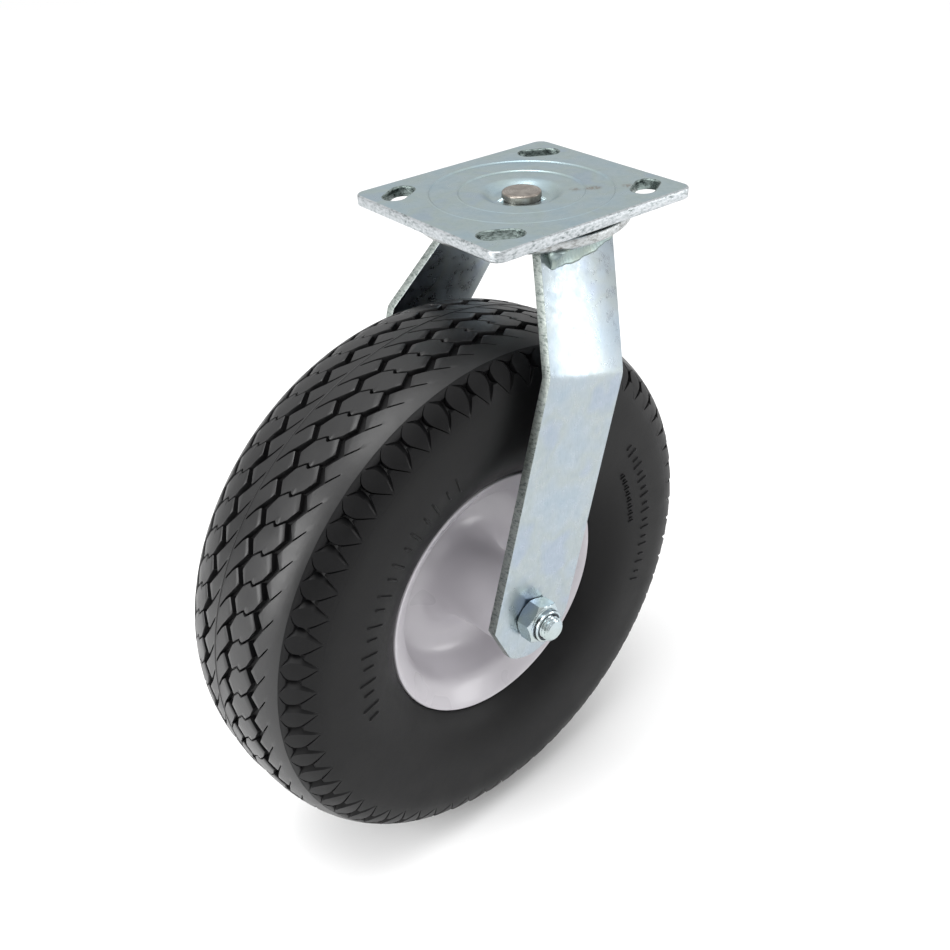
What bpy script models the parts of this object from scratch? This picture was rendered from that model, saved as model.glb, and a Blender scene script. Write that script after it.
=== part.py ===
"""Swivel plate caster with a flat-free tyre, used as a rolling gate wheel.

Frame: the origin is where the swivel axis meets the top plane of the mounting plate.
+Z is up and +X runs along the long side of the plate. Every size below is in metres.
The fork and the wheel are built in their own frames, which are parented empties, so
that turning the fork or the wheel is one rotation of an empty.
"""
from math import acos, atan2, cos, pi, radians, sin, sqrt, tan

import bmesh
import bpy
from mathutils import Vector

MM = 0.001
GAP = 0.3 * MM                 # room left between pieces that touch on the real object
CUT_PAST = 1.0 * MM            # how far a cutter runs past the faces it cuts
CUT_HALF = 100 * MM            # half length of a cutter that runs along Y through both legs

# Mounting plate
PLATE_LENGTH = 114.3 * MM      # along X
PLATE_WIDTH = 101.6 * MM       # along Y
PLATE_THICK = 5.0 * MM
PLATE_CORNER = 5.5 * MM
SLOT_WIDTH = 10.3 * MM
SLOT_WIDE_EDGE = (11.1 * MM, 17.45 * MM)    # a slot's outer centre, in from the plate's edges
SLOT_TIGHT_EDGE = (19.05 * MM, 12.7 * MM)   # and its inner centre
PRESS_OUTER_R = 42.1 * MM      # pressed steps seen on top of the plate
PRESS_INNER_R = 29.0 * MM
PRESS_STEP = 0.45 * MM
PRESS_SLOPE = 1.0 * MM
DISH_DEPTH = 3.8 * MM
DISH_R = 19.0 * MM
DISH_FLOOR_R = 12.5 * MM
DISH_SAG = 0.3 * MM            # how far the dished wall hangs below a straight cone
BOSS_DROP = 2.4 * MM           # the dished metal hangs this far below the plate
BOSS_SLOPE = 2.5 * MM
JOIN_MARGIN = 1.5 * MM         # turned centre outside its last feature
JOIN_LAP = 0.5 * MM            # and how far it laps into the flat plate

# Kingpin, its nut and the lower race
PIN_HEAD_R = 9.1 * MM
PIN_TOP = -0.15 * MM
PIN_SHANK_R = 8.0 * MM
PIN_NUT_FLATS = 24.0 * MM
PIN_NUT_HEIGHT = 7.6 * MM
PIN_END_LENGTH = 0.9 * MM      # thread standing out of the nut
RACE_CAP_R = 22.8 * MM
RACE_CAP_THICK = 4.8 * MM

# Swivel bearing
UPPER_BALL_D = 5.6 * MM
UPPER_BALL_CIRCLE_R = 35.5 * MM
UPPER_BALLS = 14
LOWER_BALL_D = 4.8 * MM
LOWER_BALL_CIRCLE_R = 19.0 * MM
LOWER_BALLS = 12
RACE_PLAY = 0.35 * MM          # running clearance between a ball and its groove
CAGE_THICK = 0.6 * MM
UPPER_CAGE_HALF = 3.6 * MM     # half the width of each retainer ring
LOWER_CAGE_HALF = 3.0 * MM
SWIVEL_GAP = 1.3 * MM          # plate to crown, and crown to lower race

# Fork crown
CROWN_R = 50.0 * MM
CROWN_FLAT_R = 45.5 * MM       # where the rounded lower edge meets the underside
CROWN_THICK = 6.0 * MM
CROWN_BORE_ROOM = 1.7 * MM     # crown's bore around the plate's boss
CROWN_BORE_SLOPE = 2.5 * MM    # countersink of that bore
CROWN_BORE_DEPTH = 2.0 * MM
CROWN_RECESS_DEPTH = 2.2 * MM  # underside recess that takes the lower race
CROWN_EDGE = 2.5 * MM          # height of the straight part of the rim

# Fork legs: bent flat bars
SWIVEL_REST = radians(3.65)    # how far the fork is turned from the plate at rest
WHEEL_LEAD = 54.2 * MM         # horizontal distance from swivel axis to axle
TYRE_TOP_ROOM = 45.9 * MM      # tyre's highest point below the top of the plate
LEG_TOP_LEAD = 1.8 * MM        # bar's line through the axle meets the plate's top here
LEG_WIDTH = 49.3 * MM
LEG_THICK = 4.8 * MM
FORK_SHIFT_Y = -2.5 * MM       # middle of the legs and wheel, off the swivel axis
LEG_OFFSET = 1.4 * MM          # bar centreline ahead of the axle
LEG_BEND_BELOW = 14.5 * MM     # bend below the tyre's outside radius, along the bar
LEG_BEND = radians(22.3)
LEG_BEND_R = 12.0 * MM         # outside radius of the bend
LEG_END_RISE = 1.0 * MM        # centre of the rounded end above the axle
LEG_CUT_SIDE = 5.0 * MM        # where the cut corner starts, below the axle
LEG_CUT_IN = 14.8 * MM         # how far the cut corner runs in from the edge
LEG_TOP_TRIM = {"near": 0.0, "far": 13.0 * MM}      # rear edge trimmed back at the crown
WELD_OUT = 8.0 * MM
WELD_DOWN = 7.5 * MM

# Axle
AXLE_R = 6.0 * MM
AXLE_HOLE_ROOM = 0.5 * MM      # leg's hole round the bolt
HEX_FLATS = 19.0 * MM
HEAD_HEIGHT = 7.5 * MM
NUT_HEX_HEIGHT = 8.4 * MM
NUT_COLLAR_HEIGHT = 3.2 * MM
NUT_COLLAR_WALL = 1.3 * MM
INSERT_WALL = 1.0 * MM
INSERT_THICK = 1.6 * MM
THREAD_OUT = 4.0 * MM          # thread standing out of the nut
SLEEVE_ROOM = 0.35 * MM        # sleeve's bore round the bolt
SLEEVE_WALL = 1.45 * MM
WASHER_WALL = 3.4 * MM         # washer outside the sleeve
WASHER_THICK = 3.4 * MM

# Wheel bearings
BEARING_R = 17.3 * MM
BEARING_WIDTH = 11.0 * MM
HUB_PROUD = 3.0 * MM           # bearing's end outside the tyre's widest point
BALL_BITE = 0.4 * MM           # how deep a wheel ball sits in each ring
BEARING_BALLS = 8
RING_WALL = 2.3 * MM           # wall of the inner ring and of the outer ring
SHIELD_THICK = 0.7 * MM
CAGE_RIB = 0.7 * MM            # half the width of a wheel bearing's cage ring

# Rim and tyre
RIM_R = 65.3 * MM
RIM_FLANGE_Y = 32.4 * MM
RIM_FLANGE_HEIGHT = 15.3 * MM  # flange tip above the inside of the barrel
RIM_WALL = 2.2 * MM
RIM_LIP = 0.9 * MM             # rounding of the flange tip
NECK_WALL = 1.7 * MM
NECK_STEP = 1.5 * MM           # shoulder inside the neck that stops the bearing
WEB_Y = 3.0 * MM
BARREL_Y = 13.0 * MM           # half width of the barrel's straight part
TYRE_R = 135.0 * MM
TYRE_HALF_WIDTH = 43.5 * MM
TYRE_SHOULDER = 30.0 * MM      # outside radius down to where the sidewall is widest
TYRE_SQUARE = 2.73             # how square the shoulders are; 2 would be an ellipse
TYRE_BEAD_GAP = 0.4 * MM

AXLE_DROP = TYRE_R + TYRE_TOP_ROOM     # axle below the top of the plate
TYRE_WIDE_R = TYRE_R - TYRE_SHOULDER
LEG_LEAN = atan2(WHEEL_LEAD + LEG_TOP_LEAD, AXLE_DROP)
LEG_BEND_AT = TYRE_R - LEG_BEND_BELOW  # axle to bend, along the bar
RIM_SEAT_R = RIM_R - RIM_FLANGE_HEIGHT
CROWN_BORE_R = DISH_FLOOR_R + CROWN_BORE_ROOM

AXLE_HOLE_R = AXLE_R + AXLE_HOLE_ROOM
INSERT_R = AXLE_R + INSERT_WALL
NUT_COLLAR_R = INSERT_R + NUT_COLLAR_WALL
SLEEVE_BORE_R = AXLE_R + SLEEVE_ROOM
SLEEVE_R = SLEEVE_BORE_R + SLEEVE_WALL
WASHER_R = SLEEVE_R + WASHER_WALL
BEARING_Y = TYRE_HALF_WIDTH + HUB_PROUD - BEARING_WIDTH / 2     # middle of each bearing
NECK_END_Y = BEARING_Y + BEARING_WIDTH / 2 + GAP
NECK_BORE_R = BEARING_R + GAP
NECK_R = NECK_BORE_R + NECK_WALL
LEG_INNER_Y = NECK_END_Y + WASHER_THICK + GAP   # inner face of the straight lower part
LEG_OUTER_Y = LEG_INNER_Y + LEG_THICK
NUT_Y = LEG_OUTER_Y + GAP

ROUND = 40                     # facets around the large turned pieces
FINE = 24                      # facets around the bearings and fasteners
TYRE_FACETS = 60

BALL_Z = -(PLATE_THICK + SWIVEL_GAP / 2)
CROWN_TOP = -(PLATE_THICK + SWIVEL_GAP)
CROWN_BOTTOM = CROWN_TOP - CROWN_THICK
RECESS_Z = CROWN_BOTTOM + CROWN_RECESS_DEPTH
LOWER_BALL_Z = RECESS_Z - SWIVEL_GAP / 2
CAP_TOP = RECESS_Z - SWIVEL_GAP
CAP_BOTTOM = CAP_TOP - RACE_CAP_THICK


# ---------------------------------------------------------------- helpers
def clear_scene():
    for thing in list(bpy.data.objects):
        bpy.data.objects.remove(thing, do_unlink=True)


def material(name, colour, roughness, metallic):
    mat = bpy.data.materials.new(name)
    mat.use_nodes = True
    shader = mat.node_tree.nodes["Principled BSDF"]
    shader.inputs["Base Color"].default_value = (*colour, 1.0)
    shader.inputs["Roughness"].default_value = roughness
    shader.inputs["Metallic"].default_value = metallic
    mat.diffuse_color = (*colour, 1.0)
    return mat


def empty(name, parent=None, location=(0, 0, 0), turn_z=0.0):
    frame = bpy.data.objects.new(name, None)
    frame.parent = parent
    frame.location = location
    frame.rotation_euler = (0, 0, turn_z)
    bpy.context.scene.collection.objects.link(frame)
    return frame


def finish(name, bm, mat, parent=None, smooth=True):
    """Turn a bmesh into a named object with outward faces."""
    bmesh.ops.remove_doubles(bm, verts=bm.verts, dist=1e-6)
    bmesh.ops.recalc_face_normals(bm, faces=bm.faces)
    mesh = bpy.data.meshes.new(name)
    bm.to_mesh(mesh)
    bm.free()
    if smooth:
        mesh.shade_smooth()
        mesh.set_sharp_from_angle(angle=radians(35))
    thing = bpy.data.objects.new(name, mesh)
    thing.parent = parent
    bpy.context.scene.collection.objects.link(thing)
    if mat:
        mesh.materials.append(mat)
    return thing


def turned(name, profile, mat, parent=None, axis="Z", facets=ROUND):
    """Spin a closed profile of (radius, height) points about the axis.

    A point with zero radius closes the solid on the axis.
    """
    bm = spun(profile, axis, facets)
    return finish(name, bm, mat, parent)


def spun(profile, axis, facets):
    bm = bmesh.new()
    place = (lambda r, h: (r, 0, h)) if axis == "Z" else (lambda r, h: (r, h, 0))
    verts = [bm.verts.new(place(r, h)) for r, h in profile]
    closed = profile[0][0] > 0
    pairs = list(zip(verts, verts[1:] + verts[:1])) if closed else list(zip(verts, verts[1:]))
    edges = [bm.edges.new(pair) for pair in pairs]
    direction = (0, 0, 1) if axis == "Z" else (0, 1, 0)
    bmesh.ops.spin(bm, geom=verts + edges, cent=(0, 0, 0), axis=direction, angle=2 * pi,
                   steps=facets, use_merge=True)
    return bm


def prism(outline, low, high, axis="Z"):
    """A solid with a flat outline, from low to high along the axis."""
    bm = bmesh.new()
    place = (lambda a, b: (a, b, low)) if axis == "Z" else (lambda a, b: (a, low, b))
    face = bm.faces.new([bm.verts.new(place(a, b)) for a, b in outline])
    grown = bmesh.ops.extrude_face_region(bm, geom=[face])
    rise = (0, 0, high - low) if axis == "Z" else (0, high - low, 0)
    moved = [item for item in grown["geom"] if isinstance(item, bmesh.types.BMVert)]
    bmesh.ops.translate(bm, verts=moved, vec=rise)
    return bm


def join_sections(bm, sections):
    """Close the solid between two outlines with the same number of points."""
    first, last = [[bm.verts.new(point) for point in section] for section in sections]
    bm.faces.new(first)
    bm.faces.new(last)
    for i in range(len(first)):
        j = (i + 1) % len(first)
        bm.faces.new((first[i], first[j], last[j], last[i]))


def arc(centre, radius, start, end, steps):
    """Points on an arc, from angle start to angle end, both included."""
    angles = [start + (end - start) * i / steps for i in range(steps + 1)]
    return [(centre[0] + radius * cos(a), centre[1] + radius * sin(a)) for a in angles]


def combine(thing, other, operation):
    """Boolean the two objects and keep the other one as a hidden guide."""
    other.hide_render = True
    other.display_type = "WIRE"
    other.hide_set(True)
    change = thing.modifiers.new(operation.lower(), "BOOLEAN")
    change.operation = operation
    change.solver = "EXACT"
    change.object = other


def groove(ball_circle, ball_diameter, centre, surface, opens_up, steps=3):
    """Points of a ball groove in a flat race surface, running outward in radius."""
    radius = ball_diameter / 2 + RACE_PLAY
    half = acos(min(1.0, abs(surface - centre) / radius))
    down = -pi / 2 if opens_up else pi / 2
    sign = 1 if opens_up else -1
    return arc((ball_circle, centre), radius, down - sign * half, down + sign * half, steps)


def hexagon(flats):
    corner = flats / sqrt(3)
    return [(corner * cos(radians(60 * i)), corner * sin(radians(60 * i))) for i in range(6)]


def ball_set(name, count, diameter, circle, offset, axis, parent):
    """Low-facet balls spaced around a circle, as one guide object."""
    bm = bmesh.new()
    for i in range(count):
        turn = 2 * pi * i / count
        if axis == "Z":
            spot = Vector((circle * cos(turn), circle * sin(turn), offset))
        else:
            spot = Vector((circle * cos(turn), offset, circle * sin(turn)))
        made = bmesh.ops.create_uvsphere(bm, u_segments=6, v_segments=4, radius=diameter / 2)
        bmesh.ops.translate(bm, verts=made["verts"], vec=spot)
    return finish(name, bm, None, parent)


# ---------------------------------------------------------------- finishes
def make_materials():
    return {
        "zinc": material("zinc_plated_steel", (0.62, 0.66, 0.68), 0.36, 1.0),
        "pin": material("ground_steel", (0.36, 0.33, 0.30), 0.42, 1.0),
        "bearing": material("bearing_steel", (0.55, 0.56, 0.58), 0.22, 1.0),
        "rubber": material("solid_foam_rubber", (0.022, 0.022, 0.024), 0.62, 0.0),
        "rim": material("painted_rim", (0.56, 0.55, 0.56), 0.38, 0.0),
        "nylon": material("nylon_insert", (0.05, 0.16, 0.28), 0.5, 0.0),
    }


# ---------------------------------------------------------------- plate group
def plate_outline():
    points = []
    for sx, sy, start in ((1, 1, 0), (-1, 1, 90), (-1, -1, 180), (1, -1, 270)):
        centre = (sx * (PLATE_LENGTH / 2 - PLATE_CORNER), sy * (PLATE_WIDTH / 2 - PLATE_CORNER))
        points += arc(centre, PLATE_CORNER, radians(start), radians(start + 90), 6)
    return points


def slot_outline(sx, sy):
    """A slot from the wide bolt pattern to the tight one."""
    a, b = [Vector((sx * (PLATE_LENGTH / 2 - edge_x), sy * (PLATE_WIDTH / 2 - edge_y)))
            for edge_x, edge_y in (SLOT_WIDE_EDGE, SLOT_TIGHT_EDGE)]
    heading = atan2(b.y - a.y, b.x - a.x)
    return (arc(b, SLOT_WIDTH / 2, heading - pi / 2, heading + pi / 2, 6)
            + arc(a, SLOT_WIDTH / 2, heading + pi / 2, heading + 3 * pi / 2, 6))


def make_top_plate(finishes):
    """Flat plate, with its pressed centre turned separately and joined on."""
    groove_end = UPPER_BALL_CIRCLE_R + UPPER_BALL_D / 2 + RACE_PLAY
    join_r = max(PRESS_OUTER_R, groove_end) + JOIN_MARGIN
    hole_r = PIN_HEAD_R + GAP
    low = -PLATE_THICK
    dish = -2 * PRESS_STEP
    top = [(join_r, 0), (PRESS_OUTER_R, 0),
           (PRESS_OUTER_R - PRESS_SLOPE, -PRESS_STEP), (PRESS_INNER_R, -PRESS_STEP),
           (PRESS_INNER_R - PRESS_SLOPE, dish), (DISH_R, dish),
           ((DISH_R + DISH_FLOOR_R) / 2, (dish - DISH_DEPTH) / 2 - DISH_SAG),
           (DISH_FLOOR_R, -DISH_DEPTH), (hole_r, -DISH_DEPTH)]
    bottom = [(hole_r, low - BOSS_DROP), (DISH_FLOOR_R, low - BOSS_DROP),
              (DISH_FLOOR_R + BOSS_SLOPE, low)]
    bottom += groove(UPPER_BALL_CIRCLE_R, UPPER_BALL_D, BALL_Z, low, opens_up=False)
    centre = spun(top + bottom + [(join_r, low)], "Z", ROUND)
    centre = finish("plate_centre_guide", centre, None)

    plate = finish("top_plate", prism(plate_outline(), -PLATE_THICK, 0), finishes["zinc"])
    open_r = join_r - JOIN_LAP
    opening = turned("plate_opening_guide", [(0, CUT_PAST), (open_r, CUT_PAST),
                     (open_r, low - CUT_PAST), (0, low - CUT_PAST)], None)
    combine(plate, opening, "DIFFERENCE")
    combine(plate, centre, "UNION")
    for corner, sx, sy in (("rear_near", -1, -1), ("rear_far", -1, 1), ("front_near", 1, -1),
                           ("front_far", 1, 1)):
        bm = prism(slot_outline(sx, sy), low - CUT_PAST, CUT_PAST)
        cutter = finish(f"slot_guide_{corner}", bm, None)
        combine(plate, cutter, "DIFFERENCE")
    return plate


def make_kingpin(finishes):
    nut_bottom = CAP_BOTTOM - GAP - PIN_NUT_HEIGHT
    end = nut_bottom - PIN_END_LENGTH
    shoulder = -PLATE_THICK - BOSS_DROP
    chamfer = 0.8 * MM
    profile = [(0, PIN_TOP), (PIN_HEAD_R - chamfer / 2, PIN_TOP), (PIN_HEAD_R, PIN_TOP - chamfer / 2),
               (PIN_HEAD_R, shoulder), (PIN_SHANK_R, shoulder),
               (PIN_SHANK_R, end + chamfer), (PIN_SHANK_R - chamfer, end), (0, end)]
    turned("kingpin", profile, finishes["pin"], facets=36)
    bm = prism(hexagon(PIN_NUT_FLATS), nut_bottom, CAP_BOTTOM - GAP)
    nut = finish("kingpin_nut", bm, finishes["zinc"], smooth=False)
    bore_r = PIN_SHANK_R + GAP
    bore = turned("kingpin_nut_guide", [(0, 0), (bore_r, 0), (bore_r, 2 * nut_bottom),
                                        (0, 2 * nut_bottom)], None, facets=36)
    combine(nut, bore, "DIFFERENCE")


def make_lower_race_cap(finishes):
    """Hardened cup under the crown, clamped by the kingpin nut."""
    bore = PIN_SHANK_R + GAP
    edge = 1.2 * MM
    profile = [(bore, CAP_TOP)]
    profile += groove(LOWER_BALL_CIRCLE_R, LOWER_BALL_D, LOWER_BALL_Z, CAP_TOP, opens_up=True)
    profile += [(RACE_CAP_R, CAP_TOP), (RACE_CAP_R, CAP_BOTTOM + edge),
                (RACE_CAP_R - edge, CAP_BOTTOM), (bore, CAP_BOTTOM)]
    turned("lower_race_cap", profile, finishes["zinc"])


def make_ball_ring(name, count, diameter, circle, height, half_width, finishes, parent):
    """Retainer ring with its balls, which turn together at half the swivel angle."""
    low, high = height - CAGE_THICK / 2, height + CAGE_THICK / 2
    ring = turned(name, [(circle - half_width, low), (circle + half_width, low),
                         (circle + half_width, high), (circle - half_width, high)],
                  finishes["bearing"], parent, facets=ROUND)
    balls = ball_set(name + "_guide", count, diameter, circle, height, "Z", parent)
    combine(ring, balls, "UNION")


# ---------------------------------------------------------------- fork group
def make_crown(finishes, fork):
    """Pressed swivel disc, with a ball groove on each side."""
    recess_r = RACE_CAP_R + 2 * GAP
    upper = [(CROWN_BORE_R + CROWN_BORE_SLOPE, CROWN_TOP)]
    upper += groove(UPPER_BALL_CIRCLE_R, UPPER_BALL_D, BALL_Z, CROWN_TOP, opens_up=True)
    rim_low = CROWN_TOP - CROWN_EDGE
    edge_height = rim_low - CROWN_BOTTOM
    edge_width = CROWN_R - CROWN_FLAT_R
    rounded = [(CROWN_FLAT_R + edge_width * cos(a), rim_low - edge_height * sin(a))
               for a in (0, pi / 6, pi / 3, pi / 2)]
    chamfer = 0.6 * MM
    outside = [(CROWN_R - chamfer, CROWN_TOP), (CROWN_R, CROWN_TOP - chamfer)] + rounded
    under = [(recess_r, CROWN_BOTTOM), (recess_r, RECESS_Z)]
    under += reversed(groove(LOWER_BALL_CIRCLE_R, LOWER_BALL_D, LOWER_BALL_Z, RECESS_Z,
                             opens_up=False))
    inner = [(CROWN_BORE_R, RECESS_Z), (CROWN_BORE_R, CROWN_TOP - CROWN_BORE_DEPTH)]
    turned("fork_crown", upper + outside + under + inner, finishes["zinc"], fork)


def bar_point(across, along):
    """Side-view (x, z) of a point on the bar, from the axle centre."""
    v = across + LEG_OFFSET
    x = -WHEEL_LEAD + along * sin(LEG_LEAN) + v * cos(LEG_LEAN)
    z = -AXLE_DROP + along * cos(LEG_LEAN) - v * sin(LEG_LEAN)
    return x, z


def top_along(across):
    """Distance along the bar at which it meets the underside of the crown."""
    drop = AXLE_DROP + CROWN_BOTTOM - GAP
    return (drop + (across + LEG_OFFSET) * sin(LEG_LEAN)) / cos(LEG_LEAN)


def leg_outline(end):
    """Side-view outline: rounded foot with one cut corner, flat top under the crown."""
    half = LEG_WIDTH / 2
    cut = (-half + LEG_CUT_IN, LEG_END_RISE - sqrt(half ** 2 - (half - LEG_CUT_IN) ** 2))
    start = atan2(cut[1] - LEG_END_RISE, cut[0])
    foot = arc((0, LEG_END_RISE), half, start, 0, 14)
    rear_top = -half + LEG_TOP_TRIM[end]
    outline = [(-half, -LEG_CUT_SIDE)] + foot
    outline += [(half, top_along(half)), (rear_top, top_along(rear_top)), (-half, LEG_BEND_AT)]
    return [bar_point(across, along) for across, along in outline]


def strip_profile():
    """Bent bar seen edge on: (distance out, distance along) in the bar's own plane."""
    reach = (top_along(LEG_WIDTH) - LEG_BEND_AT) / cos(LEG_BEND)
    setback = LEG_BEND_R * tan(LEG_BEND / 2)
    centre = (LEG_OUTER_Y - LEG_BEND_R, LEG_BEND_AT - setback)
    outer = arc(centre, LEG_BEND_R, 0, LEG_BEND, 4)
    inner = arc(centre, LEG_BEND_R - LEG_THICK, LEG_BEND, 0, 4)
    run = (-sin(LEG_BEND) * reach, cos(LEG_BEND) * reach)
    tops = [(outer[-1][0] + run[0], outer[-1][1] + run[1]),
            (inner[0][0] + run[0], inner[0][1] + run[1])]
    below = -2 * LEG_WIDTH
    return [(LEG_OUTER_Y, below)] + outer + tops + inner + [(LEG_INNER_Y, below)]


def make_leg(end, side, finishes, legs):
    """Bent strip trimmed to the side-view outline, with the axle hole through it."""
    name = f"fork_leg_{end}"
    bm = bmesh.new()
    half = LEG_WIDTH / 2 + 2 * MM
    sections = []
    for across in (-half, half):
        section = []
        for out, along in strip_profile():
            x, z = bar_point(across, along)
            section.append((x, side * out, z))
        sections.append(section)
    join_sections(bm, sections)
    leg = finish(name, bm, finishes["zinc"], legs)
    trim = finish(name + "_trim_guide", prism(leg_outline(end), -CUT_HALF, CUT_HALF, "Y"), None, legs)
    combine(leg, trim, "INTERSECT")
    hole = turned(name + "_hole_guide", [(0, -CUT_HALF), (AXLE_HOLE_R, -CUT_HALF),
                                         (AXLE_HOLE_R, CUT_HALF), (0, CUT_HALF)],
                  None, legs, axis="Y", facets=FINE)
    hole.location = (-WHEEL_LEAD, 0, -AXLE_DROP)
    combine(leg, hole, "DIFFERENCE")


def leg_face_y(x, z):
    """Distance out of the leg's sloping outer face at a side-view point."""
    along = (x + WHEEL_LEAD) * sin(LEG_LEAN) + (z + AXLE_DROP) * cos(LEG_LEAN)
    return LEG_OUTER_Y - tan(LEG_BEND) * (along - LEG_BEND_AT)


def make_weld(end, side, finishes, legs, fork):
    """Fillet weld in the corner between the crown and the leg's outer face."""
    name = f"leg_weld_{end}"
    top = CROWN_BOTTOM - GAP
    toe_z = top - WELD_DOWN
    clear = GAP / cos(LEG_BEND)
    half = LEG_WIDTH / 2
    rear = -half + LEG_TOP_TRIM[end]
    sections = []
    for across in (rear, half):
        x = bar_point(across, top_along(across))[0]
        face_y = leg_face_y(x, top) + clear
        toe_y = leg_face_y(x, toe_z) + clear
        hollow = ((face_y + WELD_OUT + toe_y) / 2 - 0.6 * MM, (top + toe_z) / 2 + 0.6 * MM)
        corners = ((face_y, top), (face_y + WELD_OUT, top), hollow, (toe_y, toe_z))
        sections.append([(x, side * y, z) for y, z in corners])
    bm = bmesh.new()
    join_sections(bm, sections)
    weld = finish(name, bm, finishes["zinc"], legs)
    reach_r = CROWN_R - 1.5 * MM
    reach = turned(name + "_guide", [(0, 0), (reach_r, 0), (reach_r, 2 * toe_z), (0, 2 * toe_z)],
                   None, fork)
    combine(weld, reach, "INTERSECT")


# ---------------------------------------------------------------- axle group
def make_axle_bolt(finishes, axle):
    head = prism(hexagon(HEX_FLATS), NUT_Y, NUT_Y + HEAD_HEIGHT, "Y")
    bolt = finish("axle_bolt", head, finishes["zinc"], axle)
    end = -(NUT_Y + NUT_HEX_HEIGHT + NUT_COLLAR_HEIGHT + THREAD_OUT)
    chamfer = 1.2 * MM
    shank = turned("axle_bolt_guide", [(0, end), (AXLE_R - chamfer, end), (AXLE_R, end + chamfer),
                                       (AXLE_R, NUT_Y + 2 * MM), (0, NUT_Y + 2 * MM)],
                   None, axle, axis="Y", facets=FINE)
    combine(bolt, shank, "UNION")


def make_axle_nut(finishes, axle):
    """Hexagon with a round collar that holds the nylon insert."""
    face = -NUT_Y
    hex_end = face - NUT_HEX_HEIGHT
    end = hex_end - NUT_COLLAR_HEIGHT
    bore_r = AXLE_R + GAP
    nut = finish("axle_nut", prism(hexagon(HEX_FLATS), hex_end, face, "Y"), finishes["zinc"], axle)
    collar = turned("axle_nut_collar_guide",
                    [(0, hex_end + 1 * MM), (NUT_COLLAR_R, hex_end + 1 * MM),
                     (NUT_COLLAR_R, end + 0.8 * MM), (NUT_COLLAR_R - 0.8 * MM, end), (0, end)],
                    None, axle, axis="Y", facets=FINE)
    combine(nut, collar, "UNION")
    seat_r = INSERT_R + GAP
    bore = turned("axle_nut_bore_guide",
                  [(0, 0), (bore_r, 0), (bore_r, end + INSERT_THICK + 2 * GAP),
                   (seat_r, end + INSERT_THICK + 2 * GAP), (seat_r, 2 * end), (0, 2 * end)],
                  None, axle, axis="Y", facets=FINE)
    combine(nut, bore, "DIFFERENCE")
    turned("nut_nylon_insert", [(bore_r, end + GAP), (INSERT_R, end + GAP),
                                (INSERT_R, end + GAP + INSERT_THICK),
                                (bore_r, end + GAP + INSERT_THICK)],
           finishes["nylon"], axle, axis="Y", facets=FINE)


def make_bearing_sleeve(finishes, axle):
    half = LEG_INNER_Y - GAP
    turned("bearing_sleeve", [(SLEEVE_BORE_R, -half), (SLEEVE_R, -half), (SLEEVE_R, half),
                              (SLEEVE_BORE_R, half)], finishes["bearing"], axle, "Y", FINE)


def make_bearing(end, side, finishes, axle, wheel, cages):
    """One ball bearing: inner ring on the axle, outer ring and shield in the wheel."""
    bore = SLEEVE_R + GAP
    inner_top = bore + RING_WALL
    outer_bore = BEARING_R - RING_WALL
    circle = (inner_top + outer_bore) / 2
    ball_diameter = outer_bore - inner_top + 2 * BALL_BITE
    low, high = BEARING_Y - BEARING_WIDTH / 2, BEARING_Y + BEARING_WIDTH / 2
    radius = ball_diameter / 2 + RACE_PLAY
    half = acos((circle - inner_top) / radius)
    inner_groove = arc((circle, BEARING_Y), radius, pi + half, pi - half, 3)
    outer_groove = arc((circle, BEARING_Y), radius, -half, half, 3)

    def out(points):
        return [(r, side * h) for r, h in points]

    turned(f"bearing_inner_ring_{end}",
           out([(bore, low), (inner_top, low)] + inner_groove + [(inner_top, high), (bore, high)]),
           finishes["bearing"], axle, "Y", FINE)
    turned(f"bearing_outer_ring_{end}",
           out([(BEARING_R, low), (outer_bore, low)] + outer_groove
               + [(outer_bore, high), (BEARING_R, high)]),
           finishes["bearing"], wheel, "Y", FINE)
    shield = high - SHIELD_THICK - GAP
    turned(f"bearing_shield_{end}",
           out([(inner_top + 1.5 * GAP, shield), (outer_bore - GAP, shield),
                (outer_bore - GAP, high - GAP), (inner_top + 1.5 * GAP, high - GAP)]),
           finishes["bearing"], wheel, "Y", FINE)
    cage = turned(f"ball_cage_{end}",
                  out([(circle - CAGE_RIB, BEARING_Y - CAGE_THICK),
                       (circle + CAGE_RIB, BEARING_Y - CAGE_THICK),
                       (circle + CAGE_RIB, BEARING_Y + CAGE_THICK),
                       (circle - CAGE_RIB, BEARING_Y + CAGE_THICK)]),
                  finishes["bearing"], cages, "Y", FINE)
    balls = ball_set(f"ball_cage_{end}_guide", BEARING_BALLS, ball_diameter, circle,
                     side * BEARING_Y, "Y", cages)
    combine(cage, balls, "UNION")
    washer_low = high + GAP
    turned(f"thrust_washer_{end}",
           out([(bore, washer_low), (WASHER_R, washer_low),
                (WASHER_R, LEG_INNER_Y - GAP), (bore, LEG_INNER_Y - GAP)]),
           finishes["zinc"], axle, "Y", FINE)


# ---------------------------------------------------------------- wheel group
def rim_face():
    """Visible side of a rim half, from the flange tip in to the end of the neck."""
    flange, seat = RIM_FLANGE_Y, RIM_SEAT_R
    web_out, web_in = seat - 8.0 * MM, NECK_R + 7.7 * MM
    web_low = web_in + 0.4 * (web_out - web_in)
    return [(RIM_R, flange - RIM_LIP), (RIM_R - RIM_LIP, flange),
            (RIM_R - 3.6 * MM, flange - 1.2 * MM), (seat + 4.2 * MM, flange - 6.4 * MM),
            (seat + 2.0 * MM, flange - 9.4 * MM), (seat - 0.4 * MM, BARREL_Y + 1.0 * MM),
            (seat - 3.2 * MM, WEB_Y + 4.2 * MM), (web_out, WEB_Y + 1.3 * MM),
            (web_low, WEB_Y), (web_in, WEB_Y + 1.6 * MM), (NECK_R + 3.5 * MM, WEB_Y + 6.2 * MM),
            (NECK_R + 1.1 * MM, WEB_Y + 13.0 * MM), (NECK_R, NECK_END_Y)]


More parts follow.
